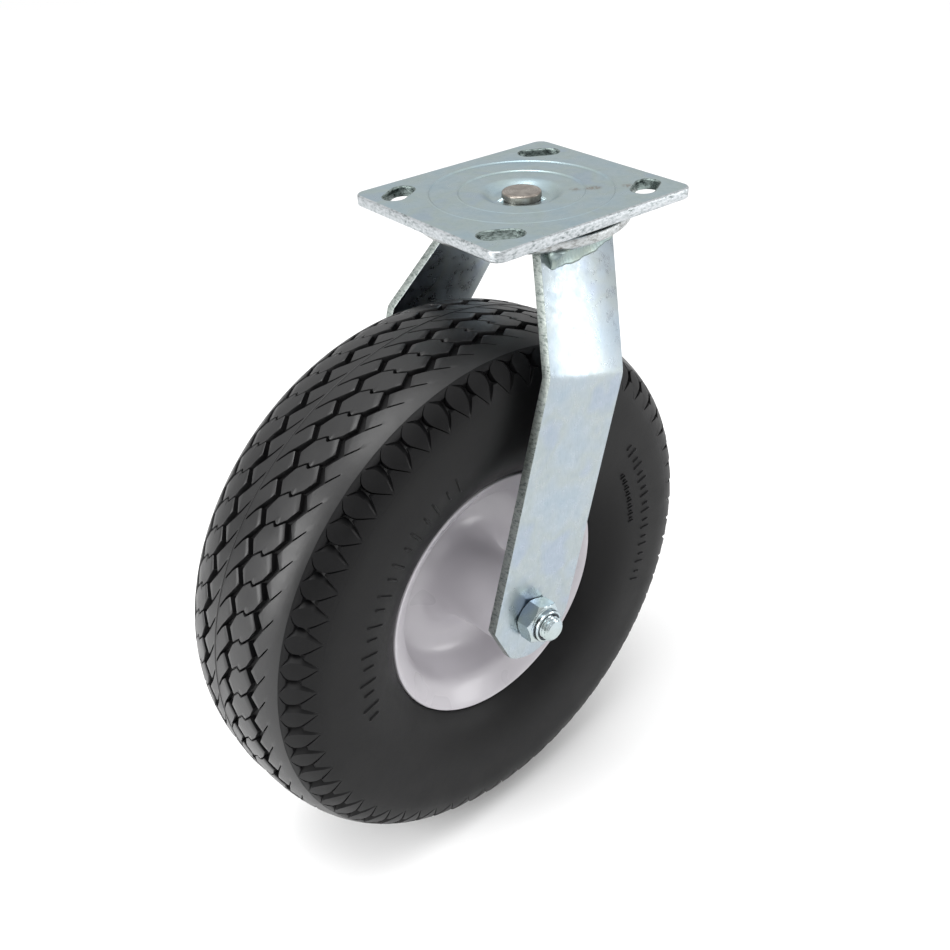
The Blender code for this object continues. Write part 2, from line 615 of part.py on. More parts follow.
def rim_back():
    """Hidden side of a rim half, from the neck bore out to the flange tip."""
    seat = RIM_SEAT_R + RIM_WALL
    shoulder = BEARING_Y - BEARING_WIDTH / 2 - GAP
    step_r = NECK_BORE_R - NECK_STEP
    return [(NECK_BORE_R, NECK_END_Y), (NECK_BORE_R, shoulder), (step_r, shoulder),
            (step_r, WEB_Y + 9.0 * MM), (NECK_R + 6.7 * MM, GAP / 2),
            (seat - 0.3 * MM, GAP / 2), (seat, BARREL_Y),
            (seat + 1.9 * MM, RIM_FLANGE_Y - 10.2 * MM), (seat + 4.2 * MM, RIM_FLANGE_Y - 7.6 * MM),
            (RIM_R - 2.2 * MM, RIM_FLANGE_Y - 2.9 * MM), (RIM_R, RIM_FLANGE_Y - 2.4 * MM)]


def make_rim_half(end, side, finishes, wheel):
    points = [(r, side * h) for r, h in rim_face() + rim_back()]
    turned(f"rim_half_{end}", points, finishes["rim"], wheel, "Y", ROUND)


def tyre_side():
    """Half of the tyre section, from the bead seat round the sidewall to near the crown.

    Outside its widest point the section is a superellipse.
    """
    seat = RIM_SEAT_R + RIM_WALL + TYRE_BEAD_GAP
    flange = RIM_FLANGE_Y
    bead_r = RIM_R + TYRE_BEAD_GAP
    drop = TYRE_WIDE_R - bead_r
    bulge = TYRE_HALF_WIDTH - flange
    points = [(seat, BARREL_Y), (seat + 1.9 * MM, flange - 10.4 * MM),
              (seat + 4.2 * MM, flange - 8.2 * MM), (RIM_R - 2.0 * MM, flange - 3.4 * MM),
              (bead_r, flange - 2.9 * MM), (bead_r, flange - 0.4 * MM),
              (bead_r + 0.22 * drop, flange + 0.50 * bulge),
              (bead_r + 0.58 * drop, flange + 0.88 * bulge)]
    power = 2 / TYRE_SQUARE
    for i in range(7):
        a = radians(90 - 13 * i)
        points.append((TYRE_WIDE_R + (TYRE_R - TYRE_WIDE_R) * cos(a) ** power,
                       TYRE_HALF_WIDTH * sin(a) ** power))
    return points


def make_tyre(finishes, wheel):
    near = [(r, -h) for r, h in tyre_side()]
    far = [(r, h) for r, h in reversed(tyre_side())]
    turned("tyre", near + [(TYRE_R, 0)] + far, finishes["rubber"], wheel, "Y", TYRE_FACETS)


# ---------------------------------------------------------------- assembly
def build():
    clear_scene()
    finishes = make_materials()
    upper_frame = empty("upper_ball_frame")
    lower_frame = empty("lower_ball_frame")
    fork = empty("fork_frame", turn_z=SWIVEL_REST)
    legs = empty("leg_frame", fork, (0, FORK_SHIFT_Y, 0))
    axle = empty("axle_frame", legs, (-WHEEL_LEAD, 0, -AXLE_DROP))
    wheel = empty("wheel_frame", axle)

    make_top_plate(finishes)
    make_kingpin(finishes)
    make_lower_race_cap(finishes)
    make_ball_ring("upper_ball_ring", UPPER_BALLS, UPPER_BALL_D, UPPER_BALL_CIRCLE_R, BALL_Z,
                   UPPER_CAGE_HALF, finishes, upper_frame)
    make_ball_ring("lower_ball_ring", LOWER_BALLS, LOWER_BALL_D, LOWER_BALL_CIRCLE_R,
                   LOWER_BALL_Z, LOWER_CAGE_HALF, finishes, lower_frame)

    make_crown(finishes, fork)
    for end, side in (("near", -1), ("far", 1)):
        make_leg(end, side, finishes, legs)
        make_weld(end, side, finishes, legs, fork)
        cages = empty(f"cage_frame_{end}", axle)
        make_bearing(end, side, finishes, axle, wheel, cages)
        make_rim_half(end, side, finishes, wheel)
    make_axle_bolt(finishes, axle)
    make_axle_nut(finishes, axle)
    make_bearing_sleeve(finishes, axle)
    make_tyre(finishes, wheel)


build()
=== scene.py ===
# %% [markdown]
# # A swivel plate caster with a flat-free tyre
# The caster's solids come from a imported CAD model, and this lesson dresses them: a moulded
# tread, an enamelled rim, zinc-plated steel with rolled edges, a weld bead and a cut thread.
# Every piece rides on a CAD body, so the fork still swivels and the wheel still turns.

# %% Load the frame
from math import cos, pi, radians, sin, tan

import bmesh
import bpy
import numpy as np
from mathutils import Matrix, Vector
from mathutils.geometry import tessellate_polygon


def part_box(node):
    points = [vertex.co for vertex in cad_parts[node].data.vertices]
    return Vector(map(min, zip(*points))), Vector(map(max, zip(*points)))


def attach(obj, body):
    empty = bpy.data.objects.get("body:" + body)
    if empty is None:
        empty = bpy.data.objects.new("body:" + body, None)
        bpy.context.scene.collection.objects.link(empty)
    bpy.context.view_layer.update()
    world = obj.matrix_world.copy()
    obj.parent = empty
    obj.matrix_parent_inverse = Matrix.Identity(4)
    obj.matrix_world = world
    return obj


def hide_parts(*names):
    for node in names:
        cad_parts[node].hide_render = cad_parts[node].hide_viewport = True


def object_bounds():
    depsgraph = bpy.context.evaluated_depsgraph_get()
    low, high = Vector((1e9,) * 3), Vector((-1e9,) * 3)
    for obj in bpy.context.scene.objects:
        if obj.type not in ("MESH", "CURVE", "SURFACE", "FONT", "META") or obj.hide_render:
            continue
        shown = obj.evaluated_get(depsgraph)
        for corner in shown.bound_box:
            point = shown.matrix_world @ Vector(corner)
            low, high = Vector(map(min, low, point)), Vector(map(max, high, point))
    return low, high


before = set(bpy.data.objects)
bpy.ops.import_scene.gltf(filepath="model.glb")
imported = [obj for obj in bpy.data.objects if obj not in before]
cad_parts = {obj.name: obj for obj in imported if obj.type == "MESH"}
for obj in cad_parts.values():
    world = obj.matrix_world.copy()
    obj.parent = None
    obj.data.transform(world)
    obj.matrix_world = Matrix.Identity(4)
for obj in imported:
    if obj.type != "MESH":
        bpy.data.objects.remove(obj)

cad_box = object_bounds()
MM = 0.001

# %% [markdown]
# ## Where things are
# The origin is on the swivel axis at the top of the plate. The fork is turned a few degrees
# at rest, so the fork's pieces are worked out in the fork's own frame and then turned.
# The wheel is worked out round its axle: `r` out from the axle, `y` along it, and an angle
# that starts at the front and runs up over the top.

# %% Places
SWIVEL_REST = radians(3.65)
AXLE = np.array([-54.2, -2.5, -180.9])        # mm, in the fork's frame
turn = np.array([[cos(SWIVEL_REST), -sin(SWIVEL_REST), 0],
                 [sin(SWIVEL_REST), cos(SWIVEL_REST), 0], [0, 0, 1]])


def from_fork(points):
    """Fork-frame millimetres to metres in the row frame: one turn about the swivel axis."""
    return np.asarray(points, float).reshape(-1, 3) @ turn.T * MM


def from_wheel(r, y, angle):
    """Wheel places to fork millimetres: a circle of radius r round the axle, y along it."""
    r, y, angle = np.broadcast_arrays(r, y, angle)
    ring = np.stack([r * np.cos(angle), y, r * np.sin(angle)], -1)
    return ring + AXLE


print("axle at", from_fork(AXLE).round(4).tolist())

# %% [markdown]
# ## Meshes from arrays
# A piece is a grid of points, `rows x columns`, worked out as whole arrays. `grid_faces` joins
# neighbouring points with four-sided faces, and either direction can close on itself.
# The mesh is then written in one go, and edges sharper than a set angle stay crisp.

# %% Grid and piece helpers
def grid_faces(rows, columns, close_rows=False, close_columns=False, start=0):
    """Quads of a rows x columns grid: corner (i, j), (i+1, j), (i+1, j+1), (i, j+1)."""
    i = np.arange(rows if close_rows else rows - 1)
    j = np.arange(columns if close_columns else columns - 1)
    i, j = np.meshgrid(i, j, indexing="ij")
    i2, j2 = (i + 1) % rows, (j + 1) % columns
    quads = np.stack([i * columns + j, i2 * columns + j, i2 * columns + j2, i * columns + j2], -1)
    return quads.reshape(-1, 4) + start


def put_on_body(name, mesh, body, replaces=()):
    """An object for a finished mesh, riding on a body."""
    obj = bpy.data.objects.new(name, mesh)
    bpy.context.scene.collection.objects.link(obj)
    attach(obj, body)
    if replaces:
        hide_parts(*replaces)
    print(f"{name}: {len(mesh.polygons)} faces")
    return obj


def piece(name, points, faces, body, finish, slot, sharp=35, merge=0.0, outward=False,
          replaces=()):
    """A mesh object from row-frame points in metres, riding on a body.

    Faces are an array, or a list where faces of different sizes are mixed.
    """
    mesh = bpy.data.meshes.new(name)
    faces = faces if isinstance(faces, list) else np.asarray(faces).tolist()
    mesh.from_pydata(np.asarray(points).reshape(-1, 3), [], faces)
    if merge or outward:
        bm = bmesh.new()
        bm.from_mesh(mesh)
        if merge:
            bmesh.ops.remove_doubles(bm, verts=bm.verts, dist=merge)
        if outward:
            bmesh.ops.recalc_face_normals(bm, faces=bm.faces)
        bm.to_mesh(mesh)
        bm.free()
    mesh.validate()
    mesh.shade_smooth()
    mesh.set_sharp_from_angle(angle=radians(sharp))
    mesh.materials.append(finish)
    return put_on_body(name, mesh, body, replaces)


def rounded(points, radius, steps=4):
    """A polyline with its inner corners replaced by arcs, as (r, y) rows.

    Each corner becomes a quadratic curve from a point before it to a point after it.
    """
    points = np.asarray(points, float)
    out = [points[:1]]
    t = np.linspace(0, 1, steps + 1)[:, None]
    for a, b, c in zip(points[:-2], points[1:-1], points[2:]):
        la, lc = np.linalg.norm(a - b), np.linalg.norm(c - b)
        p = b + (a - b) * min(radius / la, 0.45)
        q = b + (c - b) * min(radius / lc, 0.45)
        out.append((1 - t) ** 2 * p + 2 * t * (1 - t) * b + t ** 2 * q)
    return np.vstack(out + [points[-1:]])


# %% [markdown]
# ## Camera and studio
# The camera looks down from above and to the left, with a lens a little longer than normal.
# The floor is a plain pale sheet just under the tyre. A big soft panel overhead, a long one
# at the right and another at the left give soft light with clear highlights on the metal. The
# sky is bright overhead and dimmer near the horizon, which gives round metal its dark side.

# %% Camera
LENS_MM, SENSOR_MM = 41.77, 36.0
camera_data = bpy.data.cameras.new("camera")
camera_data.lens, camera_data.sensor_width = LENS_MM, SENSOR_MM
camera_data.clip_start, camera_data.clip_end = 0.01, 20
camera = bpy.data.objects.new("camera", camera_data)
bpy.context.scene.collection.objects.link(camera)
right = Vector((0.7781, -0.6269, -0.0385))
up = Vector((0.3677, 0.4048, 0.8372))
back = Vector((-0.5093, -0.6657, 0.5455))
camera.matrix_world = Matrix.LocRotScale(
    Vector((-0.31456, -0.36717, 0.16300)), Matrix((right, up, back)).transposed(), None)
bpy.context.scene.camera = camera
bpy.context.scene.view_settings.view_transform = "Standard"


# %% Colours and nodes
def linear(hex_colour):
    """sRGB hex to linear RGBA, by the sRGB curve."""
    s = np.array([int(hex_colour[i:i + 2], 16) for i in (1, 3, 5)]) / 255
    return (*np.where(s <= 0.04045, s / 12.92, ((s + 0.055) / 1.055) ** 2.4).tolist(), 1.0)


def add(tree, kind, links=None, **settings):
    """One node: settings are its properties, or its sockets if their name starts with in_."""
    node = tree.nodes.new("ShaderNode" + kind)
    for key, value in settings.items():
        if key.startswith("in_"):
            socket = key[3:]
            node.inputs[int(socket) if socket.isdigit() else socket.replace("_", " ")] \
                .default_value = value
        else:
            setattr(node, key, value)
    for socket, source in (links or {}).items():
        tree.links.new(source, node.inputs[socket])
    return node


# %% Floor and light
FLOOR_DROP = 1.0 * MM
floor_z = min(corner[2] for corner in cad_box) - FLOOR_DROP
mesh = bpy.data.meshes.new("floor")
mesh.from_pydata([(-6, -6, floor_z), (6, -6, floor_z), (6, 6, floor_z), (-6, 6, floor_z)],
                 [], [(0, 1, 2, 3)])
floor = bpy.data.objects.new("floor", mesh)
bpy.context.scene.collection.objects.link(floor)
paper = bpy.data.materials.new("white_paper")
paper.use_nodes = True
paper.node_tree.nodes["Principled BSDF"].inputs["Base Color"].default_value = linear("#FAFAFA")
paper.node_tree.nodes["Principled BSDF"].inputs["Roughness"].default_value = 0.9
mesh.materials.append(paper)

world = bpy.data.worlds.new("studio")
world.use_nodes = True
sky = world.node_tree
height = add(sky, "SeparateXYZ", {"Vector": add(sky, "TexCoord").outputs["Generated"]})
brightness = add(sky, "MapRange", {"Value": height.outputs["Z"]}, in_1=0.10, in_2=0.80,
                 in_3=0.62, in_4=1.15)
sky.links.new(brightness.outputs["Result"], sky.nodes["Background"].inputs["Strength"])
sky.nodes["Background"].inputs["Color"].default_value = (1, 1, 1, 1)
bpy.context.scene.world = world


def panel(name, place, target, size, power):
    """A soft rectangular lamp that faces its target."""
    data = bpy.data.lights.new(name, "AREA")
    data.shape, data.size, data.size_y = "RECTANGLE", size[0], size[1]
    data.energy = power
    lamp = bpy.data.objects.new(name, data)
    lamp.location = place
    lamp.rotation_euler = (Vector(target) - Vector(place)).to_track_quat("-Z", "Y").to_euler()
    bpy.context.scene.collection.objects.link(lamp)


MIDDLE = (-0.05, 0.0, -0.15)
panel("overhead", (-0.35, -0.15, 1.2), MIDDLE, (0.9, 0.7), 9)
panel("side_right", (1.15, -0.95, 0.05), MIDDLE, (0.45, 0.7), 4.6)
panel("side_left", (-1.1, 0.1, 0.25), MIDDLE, (0.5, 0.8), 8)
print("floor at", round(floor_z, 4))

# %% [markdown]
# ## Materials
# Each one starts from what the real surface is. Patterns read Object coordinates, which are
# metres in the row frame, so a noise scale of 1000 / (size in mm) gives that size.

# %% Zinc plate, bare steel and bearing steel
def new_material(name, roughness, metallic=0.0, colour=None):
    material = bpy.data.materials.new(name)
    material.use_nodes = True
    tree = material.node_tree
    shader = tree.nodes["Principled BSDF"]
    shader.inputs["Roughness"].default_value = roughness
    shader.inputs["Metallic"].default_value = metallic
    if colour:
        shader.inputs["Base Color"].default_value = linear(colour)
    return material, tree, shader


def ramp(tree, source, stops):
    """Colours along a value: stops are (place, hex)."""
    node = add(tree, "ValToRGB", {"Fac": source})
    node.color_ramp.elements[0].position, node.color_ramp.elements[1].position = (
        stops[0][0], stops[-1][0])
    for _, _ in stops[1:-1]:
        node.color_ramp.elements.new(0.5)
    for element, (place, colour) in zip(node.color_ramp.elements, stops):
        element.position = place
        element.color = linear(colour)
    return node.outputs["Color"]


def spread(tree, source, low, high, to_low=0.0, to_high=1.0):
    """A value mapped from one range to another and clamped."""
    return add(tree, "MapRange", {"Value": source}, in_1=low, in_2=high, in_3=to_low,
               in_4=to_high).outputs["Result"]


def noise(tree, place, size_mm, detail=3.0, rough=0.5):
    """Noise whose lumps are about size_mm across."""
    return add(tree, "TexNoise", {"Vector": place}, in_Scale=1000 / size_mm, in_Detail=detail,
               in_Roughness=rough).outputs["Fac"]


def mix(tree, factor, a, b, blend="MIX"):
    """Two colours or sockets mixed by a factor."""
    node = add(tree, "Mix", data_type="RGBA", blend_type=blend)
    for index, value in ((0, factor), (6, a), (7, b)):
        if hasattr(value, "node"):
            tree.links.new(value, node.inputs[index])
        elif isinstance(value, str):
            node.inputs[index].default_value = linear(value)
        else:
            node.inputs[index].default_value = value
    return node.outputs[2]


def calc(tree, operation, a, b=0.0):
    """One arithmetic step on two values or sockets."""
    node = add(tree, "Math", operation=operation)
    for index, value in ((0, a), (1, b)):
        if hasattr(value, "node"):
            tree.links.new(value, node.inputs[index])
        else:
            node.inputs[index].default_value = value
    return node.outputs["Value"]


def object_place(tree, scale=(1, 1, 1), turn_y=0.0):
    coordinate = add(tree, "TexCoord").outputs["Object"]
    return add(tree, "Mapping", {"Vector": coordinate}, in_Scale=scale,
               in_Rotation=(0, turn_y, 0)).outputs["Vector"]


def bump(tree, height, strength, distance_mm, below=None):
    links = {"Height": height}
    if below is not None:
        links["Normal"] = below
    return add(tree, "Bump", links, in_Strength=strength,
               in_Distance=distance_mm * MM).outputs["Normal"]


def zinc_finish(name, tint, roughness, grain_turn=0.0, stained=0.0, grain=(1, 1, 6)):
    """Bright zinc plate on rolled steel.

    The eye sees a bluish-white satin metal with a faint yellow, pink and blue bloom from the
    passivation, fine rolling lines, and pits where the steel was rough.
    """
    material, tree, shader = new_material(name, roughness, metallic=1.0)
    place = object_place(tree)
    bloom = noise(tree, place, 22, 2)
    cloud = noise(tree, place, 5, 4, 0.6)
    fleck = noise(tree, place, 0.9, 3, 0.7)
    streak = noise(tree, object_place(tree, grain, grain_turn), 3.5, 3, 0.6)
    tone = ramp(tree, bloom, [(0.30, "#F5FAFF"), (0.45, "#FFFFFF"), (0.55, "#FFFDF6"),
                              (0.66, "#F7F8FF")])
    body = mix(tree, 1.0, tone, tint, "MULTIPLY")
    body = mix(tree, spread(tree, cloud, 0.35, 0.75, 0.0, 0.16), body, "#75868C")
    body = mix(tree, spread(tree, streak, 0.45, 0.8, 0.0, 0.22), body, "#7B8A90")
    body = mix(tree, spread(tree, fleck, 0.70, 0.80, 0.0, 0.18), body, "#6A7476")
    if stained:
        rust = calc(tree, "MULTIPLY", spread(tree, noise(tree, place, 1.6, 4, 0.7), 0.66, 0.78),
                    stained)
        body = mix(tree, rust, body, "#7A5B3C")
    tree.links.new(body, shader.inputs["Base Color"])
    rough = calc(tree, "ADD", spread(tree, cloud, 0.3, 0.7, roughness - 0.06, roughness + 0.08),
                 spread(tree, streak, 0.4, 0.8, 0.0, 0.10))
    tree.links.new(rough, shader.inputs["Roughness"])
    normal = bump(tree, cloud, 0.25, 0.25)
    normal = bump(tree, streak, 0.25, 0.06, normal)
    normal = bump(tree, fleck, 0.12, 0.03, normal)
    tree.links.new(normal, shader.inputs["Normal"])
    return material


zinc_plate = zinc_finish("zinc_plate", "#A6B7BC", 0.30, stained=0.25)
zinc_leg = zinc_finish("zinc_leg", "#A6B0B7", 0.28, grain_turn=radians(17), grain=(6, 6, 1))
zinc_part = zinc_finish("zinc_part", "#B4C0C4", 0.16)


def sheared_finish(name, deep, body_colour, high):
    """A sheared and plated edge: torn steel grain about 0.8 mm long under bright zinc."""
    material, tree, shader = new_material(name, 0.42, metallic=1.0)
    place = object_place(tree)
    torn = noise(tree, object_place(tree, (0.35, 0.35, 0.8)), 0.8, 5, 0.7)
    patch = noise(tree, place, 5, 3)
    body = ramp(tree, torn, [(0.30, deep), (0.43, body_colour), (0.56, high)])
    body = mix(tree, spread(tree, patch, 0.4, 0.7, 0.0, 0.6), body, high)
    tree.links.new(body, shader.inputs["Base Color"])
    tree.links.new(bump(tree, torn, 0.7, 0.18), shader.inputs["Normal"])
    return material


def ground_steel():
    """Bare ground steel: brownish grey, with rings left by grinding every 0.6 mm."""
    material, tree, shader = new_material("ground_steel", 0.34, metallic=1.0)
    place = object_place(tree)
    lines = add(tree, "TexWave", {"Vector": place}, wave_type="RINGS", rings_direction="Z",
                in_Scale=260, in_Distortion=2.0, in_Detail=2.0).outputs["Fac"]
    patch = noise(tree, place, 5, 4, 0.6)
    body = ramp(tree, patch, [(0.3, "#77706A"), (0.5, "#9A938B"), (0.7, "#B3ADA5")])
    body = mix(tree, spread(tree, lines, 0.2, 0.9, 0.0, 0.3), body, "#6B655F")
    tree.links.new(body, shader.inputs["Base Color"])
    tree.links.new(bump(tree, lines, 0.3, 0.05), shader.inputs["Normal"])
    return material


def bearing_steel():
    """Ground and oiled bearing steel: a clean grey mirror with a faint film."""
    material, tree, shader = new_material("bearing_steel", 0.18, metallic=1.0)
    film = noise(tree, object_place(tree), 3, 3)
    tree.links.new(ramp(tree, film, [(0.3, "#A8A9AC"), (0.7, "#C4C6C9")]),
                   shader.inputs["Base Color"])
    tree.links.new(spread(tree, film, 0.3, 0.7, 0.14, 0.26), shader.inputs["Roughness"])
    return material


def add_stains(material, places_mm):
    """Rust stains on the plate: inside about 3 mm of each place, where a fine noise is high."""
    tree = material.node_tree
    shader = tree.nodes["Principled BSDF"]
    place = object_place(tree)
    body = shader.inputs["Base Color"].links[0].from_socket
    spots = noise(tree, place, 1.4, 4, 0.7)
    for spot in places_mm:
        near = add(tree, "VectorMath", {0: place}, operation="DISTANCE",
                   in_1=[v * MM for v in spot]).outputs["Value"]
        inside = spread(tree, near, 3.4 * MM, 0.6 * MM)
        amount = calc(tree, "MULTIPLY", inside, spread(tree, spots, 0.42, 0.58, 0.0, 0.8))
        body = mix(tree, amount, body, "#6E5644")
    tree.links.new(body, shader.inputs["Base Color"])


RUST_SPOTS = [(18.6, -15.0, 0), (26.0, -21.0, 0), (23.5, -19.0, 0), (37.0, -29.8, 0)]   # mm
add_stains(zinc_plate, RUST_SPOTS)

zinc_sheared = sheared_finish("zinc_sheared", "#454B49", "#979EA0", "#BEC2C5")
# the legs' cut edges take a darker copy of the plate edge's finish: real torn grain, with painted
# shade
leg_sheared_shaded = sheared_finish("leg_sheared_shaded", "#39403D", "#7D8682", "#A9B0AC")
# the slot walls take a near-black copy of the torn finish: painted shade for the dark inside the
# slots, under the plate
slot_wall_painted_shade = sheared_finish("slot_wall_painted_shade", "#141918", "#3C4644", "#8C9996")
crown_zinc = sheared_finish("crown_zinc", "#453F3A", "#8B8C8A", "#B9BDBE")
pin_steel, ball_steel = ground_steel(), bearing_steel()

# %% [markdown]
# Moulded rubber-like foam is near black with a broad, weak sheen. Blown specks about 0.5 mm
# across catch the light, and the mould leaves cloudy patches of gloss.
# The rim is stoved enamel: a warm light grey under a clear, soft gloss.

# %% Rubber, enamel and nylon
def moulded_rubber(name, light, dark, roughness, shine):
    """Skinned polyurethane foam, moulded: near-black, satin, with fine specks."""
    material, tree, shader = new_material(name, roughness)
    shader.inputs["Specular IOR Level"].default_value = shine
    place = object_place(tree)
    cloud = noise(tree, place, 18, 4, 0.6)
    grain = noise(tree, place, 0.55, 3, 0.7)
    body = ramp(tree, cloud, [(0.3, dark), (0.7, light)])
    body = mix(tree, spread(tree, grain, 0.66, 0.80, 0.0, 0.45), body, "#3A3A3C")
    tree.links.new(body, shader.inputs["Base Color"])
    tree.links.new(calc(tree, "ADD", spread(tree, cloud, 0.3, 0.7, roughness - 0.05,
                                            roughness + 0.07),
                        spread(tree, grain, 0.4, 0.7, 0.0, 0.05)), shader.inputs["Roughness"])
    normal = bump(tree, grain, 0.35, 0.06)
    tree.links.new(bump(tree, noise(tree, place, 4, 3), 0.15, 0.25, normal),
                   shader.inputs["Normal"])
    return material


def stoved_enamel():
    """Stoved enamel on a pressed steel rim: smooth, with a faint long orange peel."""
    material, tree, shader = new_material("stoved_enamel", 0.30)
    shader.inputs["Coat Weight"].default_value = 0.25
    shader.inputs["Coat Roughness"].default_value = 0.15
    place = object_place(tree)
    cloud = noise(tree, place, 30, 2)
    speck = noise(tree, place, 1.1, 2, 0.6)
    body = ramp(tree, cloud, [(0.35, "#B2AFB4"), (0.65, "#BBB8BD")])
    body = mix(tree, spread(tree, speck, 0.77, 0.80, 0.0, 0.35), body, "#9A8F8F")
    tree.links.new(body, shader.inputs["Base Color"])
    tree.links.new(bump(tree, noise(tree, place, 3.5, 2), 0.10, 0.05), shader.inputs["Normal"])
    tree.links.new(spread(tree, cloud, 0.3, 0.7, 0.26, 0.36), shader.inputs["Roughness"])
    return material


def nylon_ring():
    """Dyed nylon locking ring: dark blue, with a soft moulded sheen."""
    material, tree, shader = new_material("nylon_dark_blue", 0.45)
    shader.inputs["Subsurface Weight"].default_value = 0.2
    shader.inputs["Subsurface Scale"].default_value = 1 * MM
    tree.links.new(ramp(tree, noise(tree, object_place(tree), 2, 2),
                        [(0.3, "#16242E"), (0.7, "#20323F")]), shader.inputs["Base Color"])
    return material


tread_rubber = moulded_rubber("tread_rubber", "#161617", "#0D0D0E", 0.36, 0.50)
# the sidewall, its lugs and marks, and the groove floors take a darker, duller copy of the tread's
# rubber: painted shade
shaded_side_rubber = moulded_rubber("sidewall_rubber_painted_shade", "#0F0F10", "#080809", 0.42, 0.17)
enamel, nylon = stoved_enamel(), nylon_ring()
print("materials:", len(bpy.data.materials))

# %% [markdown]
# ## The tyre's section
# Half the section is a superellipse outside the widest point, with a corner added at the
# shoulder, and a soft curve from there in to the bead. A table of arc length lets the tread be
# drawn flat: `s` is the distance round the section from the middle of the crown.

# %% Section by arc length
TYRE_R, HALF_WIDTH, WIDE_R, SQUARE = 135.0, 43.5, 105.0, 2.73
RIM_R, FLANGE_Y, BEAD_GAP = 65.3, 32.4, 0.4
BEAD_R = RIM_R + BEAD_GAP
PITCHES = 62                       # tread blocks and side lugs round the tyre
CROWN_STEPS, SIDE_STEPS = 500, 300
WIDEST = CROWN_STEPS - 1           # index of the section's widest point


def half_section():
    """Rows (r, y) from the crown out to the bead.

    Crown: r = wide + height cos(a)^p and y = half width sin(a)^p. Side: y falls away from the
    widest point by a power of the distance in.
    """
    a = np.radians(np.linspace(0, 90, CROWN_STEPS))
    p = 2 / SQUARE
    crown_r = WIDE_R + (TYRE_R - WIDE_R) * np.cos(a) ** p
    crown_y = HALF_WIDTH * np.sin(a) ** p
    t = np.linspace(0, 1, SIDE_STEPS)[1:]
    drop, bulge = WIDE_R - BEAD_R, HALF_WIDTH - FLANGE_Y + BEAD_GAP
    side_r = WIDE_R - drop * t
    side_y = HALF_WIDTH - bulge * (0.25 * t ** 2 + 0.75 * t ** 4)
    return np.stack([np.append(crown_r, side_r), np.append(crown_y, side_y)], 1)


section_line = half_section()
arc = np.concatenate([[0], np.cumsum(np.hypot(*np.diff(section_line, axis=0).T))])
tangent = np.gradient(section_line, arc, axis=0)
S_WIDE, S_BEAD = float(arc[WIDEST]), float(arc[-1])


def section(s, lift=0.0):
    """(r, y) of a point at arc length s, lifted off the section along its normal."""
    s, lift = np.broadcast_arrays(np.asarray(s, float), np.asarray(lift, float))
    a = np.abs(s)
    r, y = np.interp(a, arc, section_line[:, 0]), np.interp(a, arc, section_line[:, 1])
    tr, ty = np.interp(a, arc, tangent[:, 0]), np.interp(a, arc, tangent[:, 1])
    size = np.hypot(tr, ty)
    return r + lift * ty / size, np.sign(s) * (y - lift * tr / size)


def on_tyre(s, degrees, lift):
    """Row-frame metres of a place on the tyre, from arc length, angle and lift."""
    r, y = section(s, lift)
    return from_fork(from_wheel(r, y, np.radians(degrees)))


print("section: widest at s =", round(S_WIDE, 1), "bead at s =", round(S_BEAD, 1))

# %% [markdown]
# ## The carcass
# Under the tread blocks lies a plain ring at the depth of the grooves. Outside the shoulders
# the same surface comes up to full height and runs down the sidewall to the bead, then in
# under the rim flange, and closes on itself.

# %% Carcass
GROOVE = 3.0                       # tread depth, mm
STEP_IN = 0.6                      # mm, how far the groove floor starts inside a shoulder
SHOULDER_NEAR, SHOULDER_FAR = -34.4, 40.0
LUG_END_NEAR, LUG_END_FAR = -53.0, 58.0
MIDDLE_S = 5.1                     # the mould's parting line
TURNS = 372                        # steps round the wheel, six for each pitch

carcass_s = np.concatenate([
    -np.linspace(S_BEAD, -LUG_END_NEAR, 40), [LUG_END_NEAR + 0.02, SHOULDER_NEAR + STEP_IN],
    np.linspace(-33, 38.5, 40), [SHOULDER_FAR - STEP_IN, LUG_END_FAR - 0.02],
    np.linspace(LUG_END_FAR, S_BEAD, 38)])
deep = (carcass_s > LUG_END_NEAR) & (carcass_s < LUG_END_FAR)
r, y = section(carcass_s, np.where(deep, -GROOVE, 0.0))
BEAD_IN = [(BEAD_R - 0.5, FLANGE_Y - 1.6), (64.0, FLANGE_Y - 3.6), (56.4, 24.0), (54.3, 22.0),
           (52.6, 13.0)]
r = np.concatenate([[p[0] for p in BEAD_IN[::-1]], r, [p[0] for p in BEAD_IN]])
y = np.concatenate([[-p[1] for p in BEAD_IN[::-1]], y, [p[1] for p in BEAD_IN]])
angle = np.linspace(0, 2 * pi, TURNS, endpoint=False)
points = from_fork(from_wheel(r[None, :], y[None, :], angle[:, None]))
piece("tyre_carcass", points, grid_faces(TURNS, len(r), True, True), "wheel", shaded_side_rubber,
      "rubber", sharp=40, outward=True, replaces=["tyre"])

# %% [markdown]
# ## Tread blocks
# The tread repeats 62 times. One long cut runs slantwise across it: a slit in the shoulder, a
# wide leg of the first zigzag, a thin stepped sipe between two blocks, the next wide leg, and a
# slit towards the middle. The other half is the same shape turned half round about the middle.
# A block is the patch between two neighbouring cuts. Its points are a straight blend, for each
# column, from a place on one cut to a place on the next, so its outline is exactly the cut.

# %% Cuts, as (s in mm, angle in degrees)
PITCH_DEG = 360 / PITCHES
CUT_START = 138.8                  # angle of one shoulder slit's outer end
TURN_ANGLE = 17.0                  # the half turn that gives the far half is about this angle

